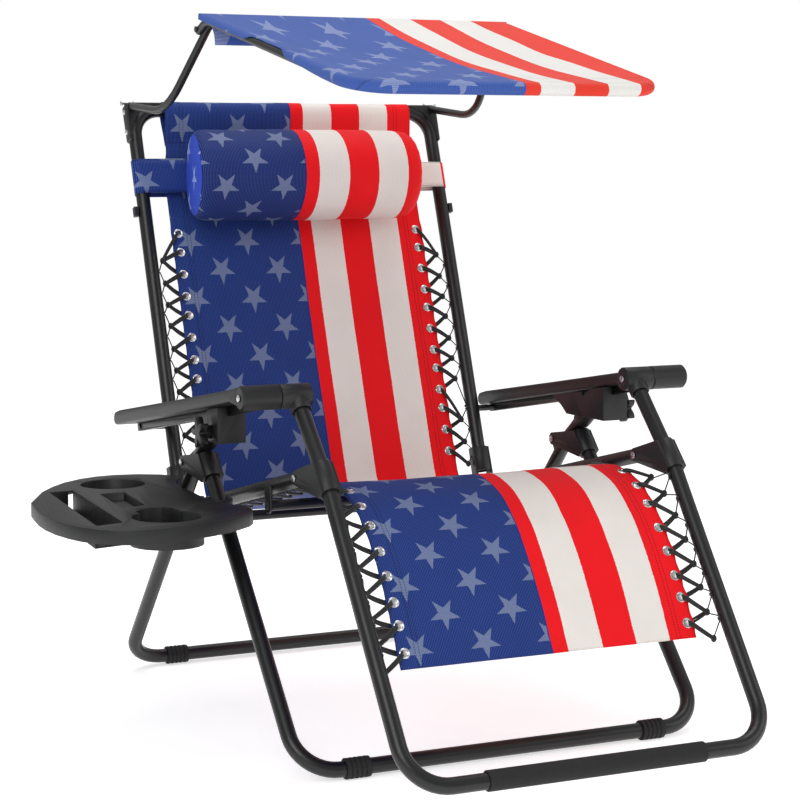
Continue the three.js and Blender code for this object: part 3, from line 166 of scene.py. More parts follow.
def powder_coat():
    material, shader = new_material("powder_coated_steel", Roughness=0.34, IOR=1.5)
    where = add_node(material, "ShaderNodeTexCoord").outputs["Object"]
    cloud = add_node(material, "ShaderNodeTexNoise", {"Vector": where, "Scale": 9.0, "Detail": 3.0})
    tone = add_node(material, "ShaderNodeValToRGB", {"Fac": cloud})
    for stop, place, colour in zip(tone.color_ramp.elements, (0.35, 0.7), ("#08090a", "#0f1011")):
        stop.position = place
        stop.color = linear(colour)
    # Orange peel has waves of about 2 mm.
    peel = add_node(material, "ShaderNodeTexNoise", {"Vector": where, "Scale": 480.0, "Detail": 2.0})
    rough = add_node(material, "ShaderNodeMapRange", {"Value": peel, "From Min": 0.3, "From Max": 0.7,
                                                      "To Min": 0.28, "To Max": 0.4})
    bump = add_node(material, "ShaderNodeBump", {"Height": peel, "Strength": 0.12, "Distance": 0.0004})
    feed(shader, {"Base Color": tone, "Roughness": rough, "Normal": bump})
    return material


steel = powder_coat()

# %% [markdown]
# Collars, locks, armrests and the tray are moulded polypropylene. The mould is spark
# eroded, which leaves a fine leathery grain, coarser on the tray than on the armrests.

# %% Moulded polypropylene


def moulded_plastic(name, dark, light, roughness, grain, strength):
    """The grain is the width of its pebbles in millimetres."""
    material, shader = new_material(name, Roughness=roughness, IOR=1.49)
    where = add_node(material, "ShaderNodeTexCoord").outputs["Object"]
    cloud = add_node(material, "ShaderNodeTexNoise", {"Vector": where, "Scale": 14.0, "Detail": 4.0})
    tone = add_node(material, "ShaderNodeMix", data_type="RGBA")
    feed(tone, {"Factor": cloud, "A": linear(dark), "B": linear(light)})
    pebble = add_node(material, "ShaderNodeTexVoronoi", {"Vector": where, "Scale": 1000 / grain},
                      feature="SMOOTH_F1")
    rough = add_node(material, "ShaderNodeMapRange", {"Value": pebble, "From Max": 0.8,
                                                      "To Min": roughness - 0.06, "To Max": roughness + 0.1})
    bump = add_node(material, "ShaderNodeBump", {"Height": pebble, "Strength": strength, "Distance": 0.0005})
    feed(shader, {"Base Color": tone, "Roughness": rough, "Normal": bump})
    return material


# The real grain is under 1 mm; 2.4 mm is drawn on the tray so that it shows in the picture.
collar_plastic = moulded_plastic("moulded_polypropylene", "#0b0c0d", "#141517", 0.44, 1.6, 0.12)
arm_plastic = moulded_plastic("satin_polypropylene", "#0b0c0d", "#131416", 0.46, 1.8, 0.08)
tray_plastic = moulded_plastic("grained_polypropylene", "#0d0e0f", "#161718", 0.48, 2.4, 0.3)

# %% [markdown]
# The feet and the footrest sleeve are soft vinyl, pushed on over the tube. It has no
# shine to speak of, and dust settles into it, which lifts its black a little. Rivets,
# bolts and eyelets are nickel plated, with a polish that handling has smeared.

# %% Soft vinyl and nickel


def soft_vinyl():
    material, shader = new_material("soft_vinyl", Roughness=0.78, IOR=1.5)
    where = add_node(material, "ShaderNodeTexCoord").outputs["Object"]
    dust = add_node(material, "ShaderNodeTexNoise", {"Vector": where, "Scale": 60.0, "Detail": 5.0})
    tone = add_node(material, "ShaderNodeMix", data_type="RGBA")
    feed(tone, {"Factor": dust, "A": linear("#101011"), "B": linear("#1c1c1d")})
    bump = add_node(material, "ShaderNodeBump", {"Height": dust, "Strength": 0.15, "Distance": 0.0004})
    feed(shader, {"Base Color": tone, "Normal": bump})
    return material


def nickel_plate():
    material, shader = new_material("nickel_plated_steel", Metallic=1.0, Roughness=0.24)
    where = add_node(material, "ShaderNodeTexCoord").outputs["Object"]
    smear = add_node(material, "ShaderNodeTexNoise", {"Vector": where, "Scale": 220.0, "Detail": 4.0})
    tone = add_node(material, "ShaderNodeMix", data_type="RGBA")
    feed(tone, {"Factor": smear, "A": linear("#b9bbbd"), "B": linear("#dedfe0")})
    rough = add_node(material, "ShaderNodeMapRange", {"Value": smear, "To Min": 0.16, "To Max": 0.34})
    feed(shader, {"Base Color": tone, "Roughness": rough})
    return material


vinyl = soft_vinyl()
nickel = nickel_plate()

# %% [markdown]
# Textilene is a polyester yarn in a vinyl coat, woven as an open rib. The flag is printed
# on it: a blue half with staggered five-point stars, then red and white stripes along
# the chair. The print follows the cloth, so it is drawn on a UV map that counts metres
# across and metres along.
#
# A star needs no picture. In polar coordinates its edge is a straight line that repeats
# five times, so a ping-pong of the angle and one sine give the whole shape.

# %% Printed textilene
STRIPES = ((0.548, "white"), (0.665, "red"), (0.782, "white"), (0.899, "red"))
INKS = {"red": "#e8141c", "white": "#e4ded8"}
# Stars 51 mm across, 112 mm apart sideways, in staggered rows 50 mm apart
STAR_ROW, STAR_COLUMN, STAR_RADIUS = 0.05009, 0.112, 0.0268
POINT = math.radians(36)
# Real yarns are 1.2 mm apart. These pitches in metres are coarser, so that they show.
RIBS, PICKS, HATCH, STITCHES = (2 * math.pi / pitch for pitch in (0.0027, 0.0022, 0.0034, 0.0045))


def flag_textilene(name, width=0.51, blue="#0d2d76", star="#828fab", phase=(0.0, 0.0), seams=(),
                   stripe_shares=STRIPES, inks=INKS, sheen=0.01):
    """Width is the print's, in metres. Seams are (direction, place) pairs in the print's measure."""
    # The open weave traps light, so it mirrors less than a closed skin of vinyl would.
    material, shader = new_material(name, Roughness=0.62, IOR=1.47, Sheen_Weight=sheen,
                                    Sheen_Roughness=0.5, Specular_IOR_Level=0.14)
    cloth = add_node(material, "ShaderNodeUVMap", uv_map="Cloth")
    parts = add_node(material, "ShaderNodeSeparateXYZ", [cloth])
    creep = add_node(material, "ShaderNodeTexNoise", {"Vector": cloth, "Scale": 260.0, "Detail": 1.0})
    fade = add_node(material, "ShaderNodeTexNoise", {"Vector": cloth, "Scale": 11.0, "Detail": 3.0})

    # Each row is one sum: the name of its result, what it does, and the names or numbers it takes.
    sums = [
        # Ink creeps along the yarns, so the print's edges waver by half a millimetre.
        ("wander", "MULTIPLY_ADD", "creep", 0.0016, -0.0008),
        ("across", "ADD", "u", "wander"), ("along", "ADD", "v", "wander"),
        ("share", "MULTIPLY_ADD", "across", 1 / width, 0.5), ("in_blue", "LESS_THAN", "share", 0.496),
        # Place within the star's own cell. Four metres more keep the modulo above zero.
        ("row_place", "ADD", "along", 4 + phase[1]), ("row", "DIVIDE", "row_place", STAR_ROW),
        ("row", "FLOOR", "row"), ("odd", "MODULO", "row", 2), ("x", "ADD", "across", 4 + phase[0]),
        ("x", "MULTIPLY_ADD", "odd", STAR_COLUMN / 2, "x"), ("x", "MODULO", "x", STAR_COLUMN),
        ("x", "SUBTRACT", "x", STAR_COLUMN / 2), ("y", "MODULO", "row_place", STAR_ROW),
        ("y", "SUBTRACT", "y", STAR_ROW * 0.52),
        ("x_squared", "MULTIPLY", "x", "x"), ("y_squared", "MULTIPLY", "y", "y"),
        ("distance", "ADD", "x_squared", "y_squared"), ("distance", "SQRT", "distance"),
        # The angle counts from straight down, since each star stands on one point.
        ("down", "MULTIPLY", "y", -1), ("angle", "ARCTAN2", "x", "down"),
        ("angle", "PINGPONG", "angle", POINT), ("angle", "ADD", "angle", POINT / 2),
        ("edge", "SINE", "angle"), ("edge", "MULTIPLY", "distance", "edge"),
        ("star", "LESS_THAN", "edge", STAR_RADIUS * math.sin(POINT / 2)),
        ("star", "MULTIPLY", "star", "in_blue"),
        # The stars are a crosshatch of pale and blue yarn.
        ("slant_a", "ADD", "across", "along"), ("slant_a", "MULTIPLY", "slant_a", HATCH),
        ("slant_a", "SINE", "slant_a"), ("slant_b", "SUBTRACT", "across", "along"),
        ("slant_b", "MULTIPLY", "slant_b", HATCH * 0.93), ("slant_b", "SINE", "slant_b"),
        ("hatch", "MULTIPLY", "slant_a", "slant_b"), ("hatch", "MULTIPLY_ADD", "hatch", 0.42, 0.62),
        ("hatch", "MINIMUM", "hatch", 1), ("star", "MULTIPLY", "star", "hatch"),
        # Ribs run along the chair and picks across it.
        ("ribs", "MULTIPLY", "u", RIBS), ("ribs", "SINE", "ribs"),
        ("picks", "MULTIPLY", "v", PICKS), ("picks", "SINE", "picks"),
        # The dye misses the crowns of the ribs in the blue half, so paler lines run down it.
        ("crown", "MAXIMUM", "ribs", 0), ("gap", "MULTIPLY_ADD", "picks", 0.3, 0.7),
        ("crown", "MULTIPLY", "crown", "gap"), ("crown", "MULTIPLY", "crown", "in_blue"),
        ("crown", "MULTIPLY", "crown", 0.28),
        ("weave", "MULTIPLY", "ribs", "picks"), ("weave", "MULTIPLY", "weave", 0.4),
        ("weave", "MULTIPLY_ADD", "ribs", 0.6, "weave"), ("light", "MULTIPLY_ADD", "fade", 0.16, 0.92),
        # The weave also lightens the colour on the rib tops and darkens it between them: a painted highlight
        # and painted shade of the weave. The fade noise adds a random tone.
        ("light", "MULTIPLY_ADD", "weave", 0.1, "light"), ("height", "MULTIPLY", "weave", 0.5),
        ("aside", "ABSOLUTE", "u"),
    ]
    # Stitch lines: thread pulled into the cloth along each seam.
    for i, (direction, place) in enumerate(seams):
        measure, run = ("aside", "v") if direction == "along" else ("v", "u")
        sums += [
            ("near", "SUBTRACT", measure, place), ("near", "ABSOLUTE", "near"),
            ("near", "LESS_THAN", "near", 0.0009), ("dash", "MULTIPLY", run, STITCHES),
            ("dash", "SINE", "dash"), ("dash", "GREATER_THAN", "dash", -0.5),
            ("stitch", "MULTIPLY", "near", "dash"), (f"thread {i}", "MULTIPLY", "stitch", 0.55),
            ("stitch", "MULTIPLY", "stitch", 1.5), ("height", "SUBTRACT", "height", "stitch"),
        ]
    made = {"u": parts.outputs["X"], "v": parts.outputs["Y"], "creep": creep, "fade": fade}
    for result, operation, *terms in sums:
        made[result] = add_node(material, "ShaderNodeMath", [made.get(term, term) for term in terms],
                                operation=operation)

    stripes = add_node(material, "ShaderNodeValToRGB", {"Fac": made["share"]})
    ramp = stripes.color_ramp
    ramp.interpolation = "CONSTANT"
    ramp.elements[0].color = linear(blue)
    ramp.elements[0].position = 0.0
    ramp.elements[1].color = linear(inks["red"])
    ramp.elements[1].position = 0.5
    for place, ink in stripe_shares:
        ramp.elements.new(place).color = linear(inks[ink])
    # Pale yarn goes over the stripes, then dark thread over both.
    colour = stripes
    for share in ("crown", "star"):
        colour = add_node(material, "ShaderNodeMix",
                          {"Factor": made[share], "A": colour, "B": linear(star)}, data_type="RGBA")
    # The colour is multiplied by the random tone and by the painted weave shade and highlight.
    grey = add_node(material, "ShaderNodeCombineColor", [made["light"]] * 3)
    colour = add_node(material, "ShaderNodeMix", {"Factor": 1.0, "A": colour, "B": grey},
                      data_type="RGBA", blend_type="MULTIPLY")
    thread = linear("#14161f")
    for i in range(len(seams)):
        colour = add_node(material, "ShaderNodeMix",
                          {"Factor": made[f"thread {i}"], "A": colour, "B": thread}, data_type="RGBA")
    bump = add_node(material, "ShaderNodeBump",
                    {"Height": made["height"], "Strength": 0.25, "Distance": 0.0005})
    feed(shader, {"Base Color": colour, "Normal": bump})
    return material


sling_cloth = flag_textilene("printed_textilene", phase=(0.085, 0.0333),
                             seams=(("along", 0.219), ("along", 0.2255), ("across", 1.275)))
pillow_cloth = flag_textilene("pillow_textilene", blue="#0a2468", phase=(0.075, 0.0029))
# The end panel is cut from the blue half alone, so its print is given a far greater width.
pillow_end_cloth = flag_textilene("pillow_end_textilene", width=4.0, blue="#0438b6", star="#a9bae0")
# The canopy's inks and blue are paler than the sling's: a painted sheen, for the whitish veil the cloth shows
# when seen at a grazing angle.
canopy_inks_paled_for_sheen = {"red": "#dc3a2c", "white": "#dddbd7"}
canopy_cloth = flag_textilene("canopy_textilene", blue="#30509c", star="#8e9abd", phase=(0.027, 0.0154),
                              seams=(("across", -0.2916), ("across", -0.3294)), inks=canopy_inks_paled_for_sheen, sheen=0.04)

# %% [markdown]
# The lacing is shock cord: rubber strands in a braided polyester sleeve. The braid is a
# diamond pattern a couple of millimetres long that dulls the black.

# %% Braided shock cord


def shock_cord():
    material, shader = new_material("braided_shock_cord", Roughness=0.72, Sheen_Weight=0.2)
    where = add_node(material, "ShaderNodeTexCoord").outputs["Object"]
    braid = add_node(material, "ShaderNodeTexVoronoi", {"Vector": where, "Scale": 520.0})
    tone = add_node(material, "ShaderNodeMix", data_type="RGBA")
    feed(tone, {"Factor": braid, "A": linear("#1b1b1d"), "B": linear("#08080a")})
    bump = add_node(material, "ShaderNodeBump", {"Height": braid, "Strength": 0.4, "Distance": 0.0006})
    feed(shader, {"Base Color": tone, "Normal": bump})
    return material


cord_braid = shock_cord()

# %% [markdown]
# All new pieces end the same way: doubles merged, faces turned outwards, and smooth
# shading with real edges kept sharp. A piece that is given a body rides on it.

# %% Finishing a piece


def finish_piece(bm, name, body, look, stands_for=(), sharp=38, recalc=True):
    """Sharp is the angle in degrees from which an edge stays sharp."""
    if recalc:
        bmesh.ops.remove_doubles(bm, verts=bm.verts, dist=2e-6)
        bmesh.ops.recalc_face_normals(bm, faces=bm.faces)
    mesh = bpy.data.meshes.new(name)
    bm.to_mesh(mesh)
    bm.free()
    for material in look if isinstance(look, (list, tuple)) else [look]:
        mesh.materials.append(material)
    mesh.shade_smooth()
    mesh.set_sharp_from_angle(angle=math.radians(sharp))
    piece = bpy.data.objects.new(name, mesh)
    scene.collection.objects.link(piece)
    if body:
        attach(piece, body)
    if stands_for:
        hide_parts(*stands_for)
    return piece


def thicken(piece, thickness, group=""):
    """Gives a sheet its thickness in mm, thinner where a vertex group says so."""
    wall = piece.modifiers.new("cloth_wall", "SOLIDIFY")
    wall.thickness = thickness / 1000
    wall.offset = 0
    wall.vertex_group = group


# %% [markdown]
# A tube bender feeds a straight length, then wraps the tube round a former. The helper
# does the same: a circle is extruded along each straight and spun round each bend, so
# the wall stays round where a plain corner would pinch it.

# %% Bending a tube


def start_ring(bm, place, heading, radius, sides):
    """Adds a circle across the heading, with its radius in mm, and returns its edges."""
    facing = Matrix.Translation(place) @ heading.to_track_quat("Z", "Y").to_matrix().to_4x4()
    ring = bmesh.ops.create_circle(bm, segments=sides, radius=radius / 1000, matrix=facing)["verts"]
    return list({edge for vert in ring for edge in vert.link_edges})


def extrude_ring(bm, edges):
    """Extrudes an edge loop and returns its new vertices and edges."""
    grown = bmesh.ops.extrude_edge_only(bm, edges=edges)["geom"]
    return ([part for part in grown if isinstance(part, bmesh.types.BMVert)],
            [part for part in grown if isinstance(part, bmesh.types.BMEdge)])


def cap_ends(bm, *rims):
    for rim in rims:
        bmesh.ops.edgeloop_fill(bm, edges=rim)


def bend_tube(bm, corners, bends, radius, sides=24):
    """Adds a closed tube. Corners, bend radii and the radius are in chair millimetres."""
    points = [chair(*corner) for corner in corners]
    first = start_ring(bm, points[0], (points[1] - points[0]).normalized(), radius, sides)
    edges, here = first, points[0]
    for i in range(1, len(points)):
        before = (points[i] - points[i - 1]).normalized()
        last = i == len(points) - 1
        stop = points[i]
        if not last:
            after = (points[i + 1] - points[i]).normalized()
            turn, bend = before.angle(after), bends[i - 1] / 1000
            stop = points[i] - before * bend * math.tan(turn / 2)
        moved, edges = extrude_ring(bm, edges)
        bmesh.ops.translate(bm, verts=moved, vec=stop - here)
        here = stop
        if not last:
            axis = before.cross(after).normalized()
            centre = here + axis.cross(before) * bend
            steps = max(3, math.ceil(math.degrees(turn) / 9))
            spun = bmesh.ops.spin(bm, geom=moved + edges, cent=centre, axis=axis, angle=turn, steps=steps)
            edges = [part for part in spun["geom_last"] if isinstance(part, bmesh.types.BMEdge)]
            here = centre + Matrix.Rotation(turn, 3, axis) @ (here - centre)
    cap_ends(bm, first, edges)


def cross_bar(bm, radius, from_x, to_x, y, z, sides=24):
    bend_tube(bm, [(from_x, y, z), (to_x, y, z)], [], radius, sides)


# %% [markdown]
# Flat fittings are cut from an outline seen from the side. The helper fills the outline,
# extrudes it sideways and rounds every edge, because no moulded or pressed edge is sharp.

# %% Side plates


def extrude_outline(bm, places, shift):
    """Fills an outline, extrudes it by the shift, and returns all its vertices."""
    verts = [bm.verts.new(place) for place in places]
    grown = bmesh.ops.extrude_face_region(bm, geom=[bm.faces.new(verts)])["geom"]
    moved = [part for part in grown if isinstance(part, bmesh.types.BMVert)]
    bmesh.ops.translate(bm, verts=moved, vec=shift)
    return verts + moved


def round_edges(bm, rims, width, segments):
    bmesh.ops.bevel(bm, geom=rims, offset=width / 1000, offset_type="OFFSET", affect="EDGES",
                    segments=segments, profile=0.5, material=-1, clamp_overlap=True)


def side_plate(bm, outline, from_x, to_x, rounding, segments=2):
    """Adds a plate. The outline is side-view places (y, z)."""
    verts = extrude_outline(bm, [chair(from_x, y, z) for y, z in outline], ((to_x - from_x) / 1000, 0, 0))
    round_edges(bm, list({edge for vert in verts for edge in vert.link_edges}), rounding, segments)


def ring_points(radius, y, z, count=24):
    return [(y + radius * math.cos(2 * math.pi * i / count), z + radius * math.sin(2 * math.pi * i / count))
            for i in range(count)]


def hull_of(places):
    """The tightest convex outline round side-view places."""
    ordered = sorted(set(places))

    def half(points):
        chain = []
        for point in points:
            while len(chain) > 1 and ((chain[-1][0] - chain[-2][0]) * (point[1] - chain[-2][1])
                                      - (chain[-1][1] - chain[-2][1]) * (point[0] - chain[-2][0])) <= 0:
                chain.pop()
            chain.append(point)
        return chain[:-1]

    return half(ordered) + half(ordered[::-1])


# %% [markdown]
# The steel skeleton is five bent tubes. Their routes repeat the CAD's corners, with
# twice as many sides and finer bends, so that the highlights run unbroken.

# %% Leg frames
# Half widths of the two frames, the radii of their tubes, and the head bar's bends
LEG, FRAME, TUBE, HOOP, HEAD_BEND = 354, 302, 12.5, 7, 50
rear_tube = bmesh.new()
bend_tube(rear_tube, [(-LEG, -34, 484.6), (-LEG, 31.9, 434), (-LEG, 416, 16), (LEG, 416, 16),
                      (LEG, 31.9, 434), (LEG, -34, 484.6)], [30, 66, 66, 30], TUBE)
for sign in (-1, 1):
    lug = hull_of(ring_points(11.5, 59.5, 431) + [(31.9, 434), (59.5, 408)])
    side_plate(rear_tube, lug, sign * (LEG - 12.6), sign * (LEG + 12.6), 1.2)
finish_piece(rear_tube, "rear_leg_tube", "rear_legs", steel, ["rear_leg_frame"])

front_tube = bmesh.new()
bend_tube(front_tube, [(-LEG, -13.7, 449.2), (-LEG, -412, 16), (LEG, -412, 16), (LEG, -13.7, 449.2)],
          [66, 66], TUBE)
cross_bar(front_tube, 8.5, -LEG, LEG, -96.8, 360, 20)
finish_piece(front_tube, "front_leg_tube", "front_legs", steel, ["front_leg_frame"])

# %% Backrest, footrest and seat tubes
back_tube = bmesh.new()
back_low = beside(SEAT_REAR, back_step, 40)
bend_tube(back_tube, [(-FRAME, *back_low), (-FRAME, *BACK_TOP), (FRAME, *BACK_TOP), (FRAME, *back_low)],
          [HEAD_BEND, HEAD_BEND], TUBE)
arm_slope = math.radians(9.8)
arm_step = (math.cos(arm_slope), -math.sin(arm_slope))
arm_pivot = beside(KNUCKLE, arm_step, 600, -11)
for sign in (-1, 1):
    cross_bar(back_tube, 6, sign * FRAME, sign * 334.7, *arm_pivot, 20)
finish_piece(back_tube, "backrest_tube", "backrest", steel, ["backrest_frame"])

foot_tube = bmesh.new()
foot_top = beside(KNUCKLE, foot_upper, 9)
bend_tube(foot_tube, [(-FRAME, *foot_top), (-FRAME, *FOOT_KNEE), (-FRAME, *FOOT_BAR), (FRAME, *FOOT_BAR),
                      (FRAME, *FOOT_KNEE), (FRAME, *foot_top)], [60, 66, 66, 60], TUBE)
finish_piece(foot_tube, "footrest_tube", "footrest", steel, ["footrest_frame"])

for sign, side in ((-1, "right"), (1, "left")):
    rail = bmesh.new()
    bend_tube(rail, [(sign * FRAME, *beside(SEAT_FRONT, seat_step, -12)),
                     (sign * FRAME, *beside(SEAT_FRONT, seat_step, seat_step[2] + 12))], [], TUBE)
    finish_piece(rail, f"seat_tube_{side}", "seat", steel, [f"seat_rail_{side}"])

# %% Canopy hoops
hoops = bmesh.new()
pivot, bend = Vector((-306, 514, 1031)), Vector((-306, 306, 1017))
tail = pivot + (pivot - bend).normalized() * 9
bend_tube(hoops, [tail, bend, (-270, 165, 1171), (270, 165, 1171), (306, 303, 1012),
                  (-tail.x, tail.y, tail.z)], [125, 26, 26, 125], HOOP, 16)
hinge, bend = Vector((-285.6, 182, 1155)), Vector((-285.6, 146, 1167.6))
tail = hinge + (hinge - bend).normalized() * 9
bend_tube(hoops, [tail, bend, (-262, -420, 1043), (262, -420, 1043), (285.6, 146, 1167.6),
                  (-tail.x, tail.y, tail.z)], [60, 60, 60, 60], HOOP, 16)
for sign in (-1, 1):
    cross_bar(hoops, 5, sign * 292.3, sign * 295.2, 182, 1155, 16)
finish_piece(hoops, "canopy_hoops", "canopy", steel, ["canopy_frame"])

# %% [markdown]
# A ribbed foot is a lathe job: half a profile with five flat-topped ribs, spun once round
# the tube. A full spin merges its last ring into its first.

# %% Feet and sleeve


def spin_outline(bm, places, centre, axis, steps, closed=True):
    """Joins places by edges and spins them once round an axis."""
    verts = [bm.verts.new(place) for place in places]
    ends = verts[1:] + verts[:1] if closed else verts[1:]
    edges = [bm.edges.new(pair) for pair in zip(verts, ends)]
    bmesh.ops.spin(bm, geom=verts + edges, cent=centre, axis=axis, angle=2 * math.pi, steps=steps,
                   use_merge=True)


def turned(bm, profile, y, z, steps=32):
    """Spins a closed profile of (x, radius) pairs about the crosswise line through (y, z)."""
    spin_outline(bm, [chair(x, y, z + radius) for x, radius in profile], chair(0, y, z), (1, 0, 0), steps)


def foot_profile(middle):
    profile = [(middle - 20, 12.8)]
    for rib in range(5):
        start = middle - 20 + rib * 8
        profile += [(start, 15.9), (start + 0.7, 16.5), (start + 4.7, 16.5), (start + 5.4, 15.9)]
        if rib < 4:
            profile += [(start + 5.6, 14.9), (start + 7.6, 14.9)]
    return profile + [(middle + 20, 16.2), (middle + 20, 12.8)]


for body, y, end in (("rear_legs", 416, "rear"), ("front_legs", -412, "front")):
    for sign, side in ((-1, "right"), (1, "left")):
        foot = bmesh.new()
        turned(foot, foot_profile(sign * 261), y, 16)
        finish_piece(foot, f"{end}_ribbed_foot_{side}", body, vinyl, [f"{end}_foot_{side}"], 50)
sleeve = bmesh.new()
turned(sleeve, [(-182, 12.8), (-182, 14.8), (-181, 15.6), (181, 15.6), (182, 14.8), (182, 12.8)], *FOOT_BAR)
finish_piece(sleeve, "footrest_grip", "footrest", vinyl, ["footrest_sleeve"])

# %% [markdown]
# The sling is one length of cloth from the head bar to the calves. Seen from the side it
# is a single line: straight where the lacing pulls it flat, and rounded at the hip and
# the knee, where nothing holds it. The line is drawn once, measured in metres from the
# foot end, and every piece of cloth, hem and print refers to that measure.

# %% The sling's line


def softened(points, steps=4):
    """More points between the given ones, on a smooth curve through them."""
    out = []
    for i in range(len(points) - 1):
        p0, p1, p2 = points[max(i - 1, 0)], points[i], points[i + 1]
        p3 = points[min(i + 2, len(points) - 1)]
        for k in range(steps):
            t = k / steps
            out.append(0.5 * ((2 * p1) + (p2 - p0) * t + (2 * p0 - 5 * p1 + 4 * p2 - p3) * t * t
                              + (3 * p1 - p0 - 3 * p2 + p3) * t ** 3))
    return out + [points[-1]]


def smooth_line(points, step=6.0):
    """A curve through side-view points, cut into equal steps. Returns (distance, y, z) in mm."""
    dense = softened([Vector(point) for point in points], 12)
    total = [0.0]
    for a, b in zip(dense, dense[1:]):
        total.append(total[-1] + (b - a).length)
    count = round(total[-1] / step)
    out, j = [], 0
    for i in range(count + 1):
        want = total[-1] * i / count
        while j < len(total) - 2 and total[j + 1] < want:
            j += 1
        gap = total[j + 1] - total[j]
        point = dense[j].lerp(dense[j + 1], (want - total[j]) / gap if gap else 0)
        out.append((want, point.x, point.y))
    return out


LEG_LINE = [(-556, 198), (-544, 220), (-525, 256.5), (-506, 289), (-483, 324), (-456, 358),
            (-441, 374.5), (-424, 389), (-408, 402.5), (-390, 414), (-369, 423.5), (-345, 430),
            (-322, 434.6), (-300, 436.2)]
seat_line = [beside(SEAT_FRONT, seat_step, 52 + 47.2 * i, -8) for i in range(11)]
hip_line = [(216, 316.4), (234, 317.3), (250, 323), (263, 333.6), (271.8, 346)]
back_line = [beside(SEAT_REAR, back_step, 52 + 40 * i, -5.4) for i in range(16)]
sleeve_line = [beside(SEAT_REAR, back_step, back_step[2] + s, off) for s, off in (
    (-64, -4.4), (-44, 1.5), (-22, 10), (-6, 14.6), (6, 14.0), (12.6, 8.4), (15.4, 0), (12.6, -8.6),
    (4, -14.6), (-8, -15.2), (-26, -12.8), (-46, -9.4), (-66, -7.6))]
line = smooth_line(LEG_LINE + seat_line + hip_line + back_line + sleeve_line)
line_length = line[-1][0]
print(f"the sling's cloth is {line_length:.0f} mm long with its sleeve")


def line_at(distance):
    """Side-view place and unit normal (towards the sitter) at a distance in mm."""
    share = min(max(distance / line_length, 0), 1) * (len(line) - 1)
    i = min(int(share), len(line) - 2)
    t = share - i
    y = line[i][1] * (1 - t) + line[i + 1][1] * t
    z = line[i][2] * (1 - t) + line[i + 1][2] * t
    a, b = line[max(i - 1, 0)], line[min(i + 2, len(line) - 1)]
    length = math.hypot(b[1] - a[1], b[2] - a[2])
    return y, z, -(b[2] - a[2]) / length, (b[1] - a[1]) / length


def nearest_on_line(y, z):
    return min(line, key=lambda p: (p[1] - y) ** 2 + (p[2] - z) ** 2)[0]


back_eyelets = [nearest_on_line(*beside(SEAT_REAR, back_step, 518.4 - 39.9 * i, -5.4)) for i in range(12)]
seat_eyelets = [nearest_on_line(*beside(SEAT_FRONT, seat_step, 72.5 + 45 * i, -8)) for i in range(11)]
leg_eyelets = [nearest_on_line(y, z) for y, z in ((-345, 430), (-390, 414), (-424, 389), (-456, 358),
                                                  (-483, 324), (-506, 289), (-525, 256.5), (-544, 220))]
# Each length's body, its eyelets, and how far out they sit in mm
LACED = {"back": ("backrest", back_eyelets, 241), "seat": ("seat", seat_eyelets, 242),
         "leg": ("footrest", leg_eyelets, 243)}
knee_at = nearest_on_line(-292, 436)
hip_at = nearest_on_line(252, 324)
seam_at = nearest_on_line(*beside(SEAT_REAR, back_step, back_step[2] - 62, -5))
print(f"knee {knee_at:.0f}, hip {hip_at:.0f}, head seam {seam_at:.0f} mm")

# %% [markdown]
# A sheet starts as a flat grid whose rows and columns are counted, each vertex is laid on
# the sling's line, and its UV keeps the cloth's own measure. The eyelets pull the edge
# into shallow scallops, and the cloth between them hangs a few millimetres lower. The
# hem is folded double, so a vertex group makes the wall thicker there.

# %% Laying a sheet on the line
HALF_WIDTH, HEM = 255, 222
# Which row of stars lies at which distance. The rows are closer together on the calves.
PRINT_ROWS = ((0, -4.58), (370, 2.95), (900, 12.36), (1802, 28.7))


def print_at(distance):
    """The print's own measure in metres at a distance along the line in mm."""
    for (start, from_row), (end, to_row) in zip(PRINT_ROWS, PRINT_ROWS[1:]):
        if distance <= end:
            break
    return STAR_ROW * (from_row + (to_row - from_row) * (distance - start) / (end - start))


def pull_at(distance):
    """1 at an eyelet, 0 half way between two."""
    return max((math.cos(min(abs(distance - eyelet) / 21, 1) * math.pi) + 1) / 2
               for _, eyelets, _ in LACED.values() for eyelet in eyelets)


def sag_at(distance):
    """How far the middle hangs below the lacing, in mm."""
    hollows = (((knee_at + hip_at) / 2, 190, 7), (back_eyelets[-1] + 190, 210, 5), (190, 150, 4))
    return sum(depth * math.exp(-((distance - middle) / reach) ** 2) for middle, reach, depth in hollows)


def cloth_place(across, distance):
    """Where a point of the cloth lies: across is -1 to 1, and distance is along the line in mm."""
    y, z, ny, nz = line_at(distance)
    # Round the head bar the cloth is 4 mm narrower and sits 6 mm nearer to the sitter's left.
    at_head = smooth_share(distance, seam_at - 60, seam_at - 10)
    laced = distance < seam_at - 100
    pull = pull_at(distance) if laced else 0.5
    scallop = (1 - pull) * 1.6 * max(abs(across) - 0.8, 0) / 0.2
    off = -sag_at(distance) * (1 - across ** 2)
    ripple = math.sin(distance / 31 + across * 3.1) * math.sin(across * 5.3 + distance / 97)
    off += 0.9 * ripple * (1 - across ** 4)
    if laced:
        off -= (1 - pull) * 1.2 * math.exp(-((1 - abs(across)) / 0.07) ** 2)
    return chair(across * (HALF_WIDTH - 4 * at_head - scallop) + 6 * at_head, y + ny * off, z + nz * off)


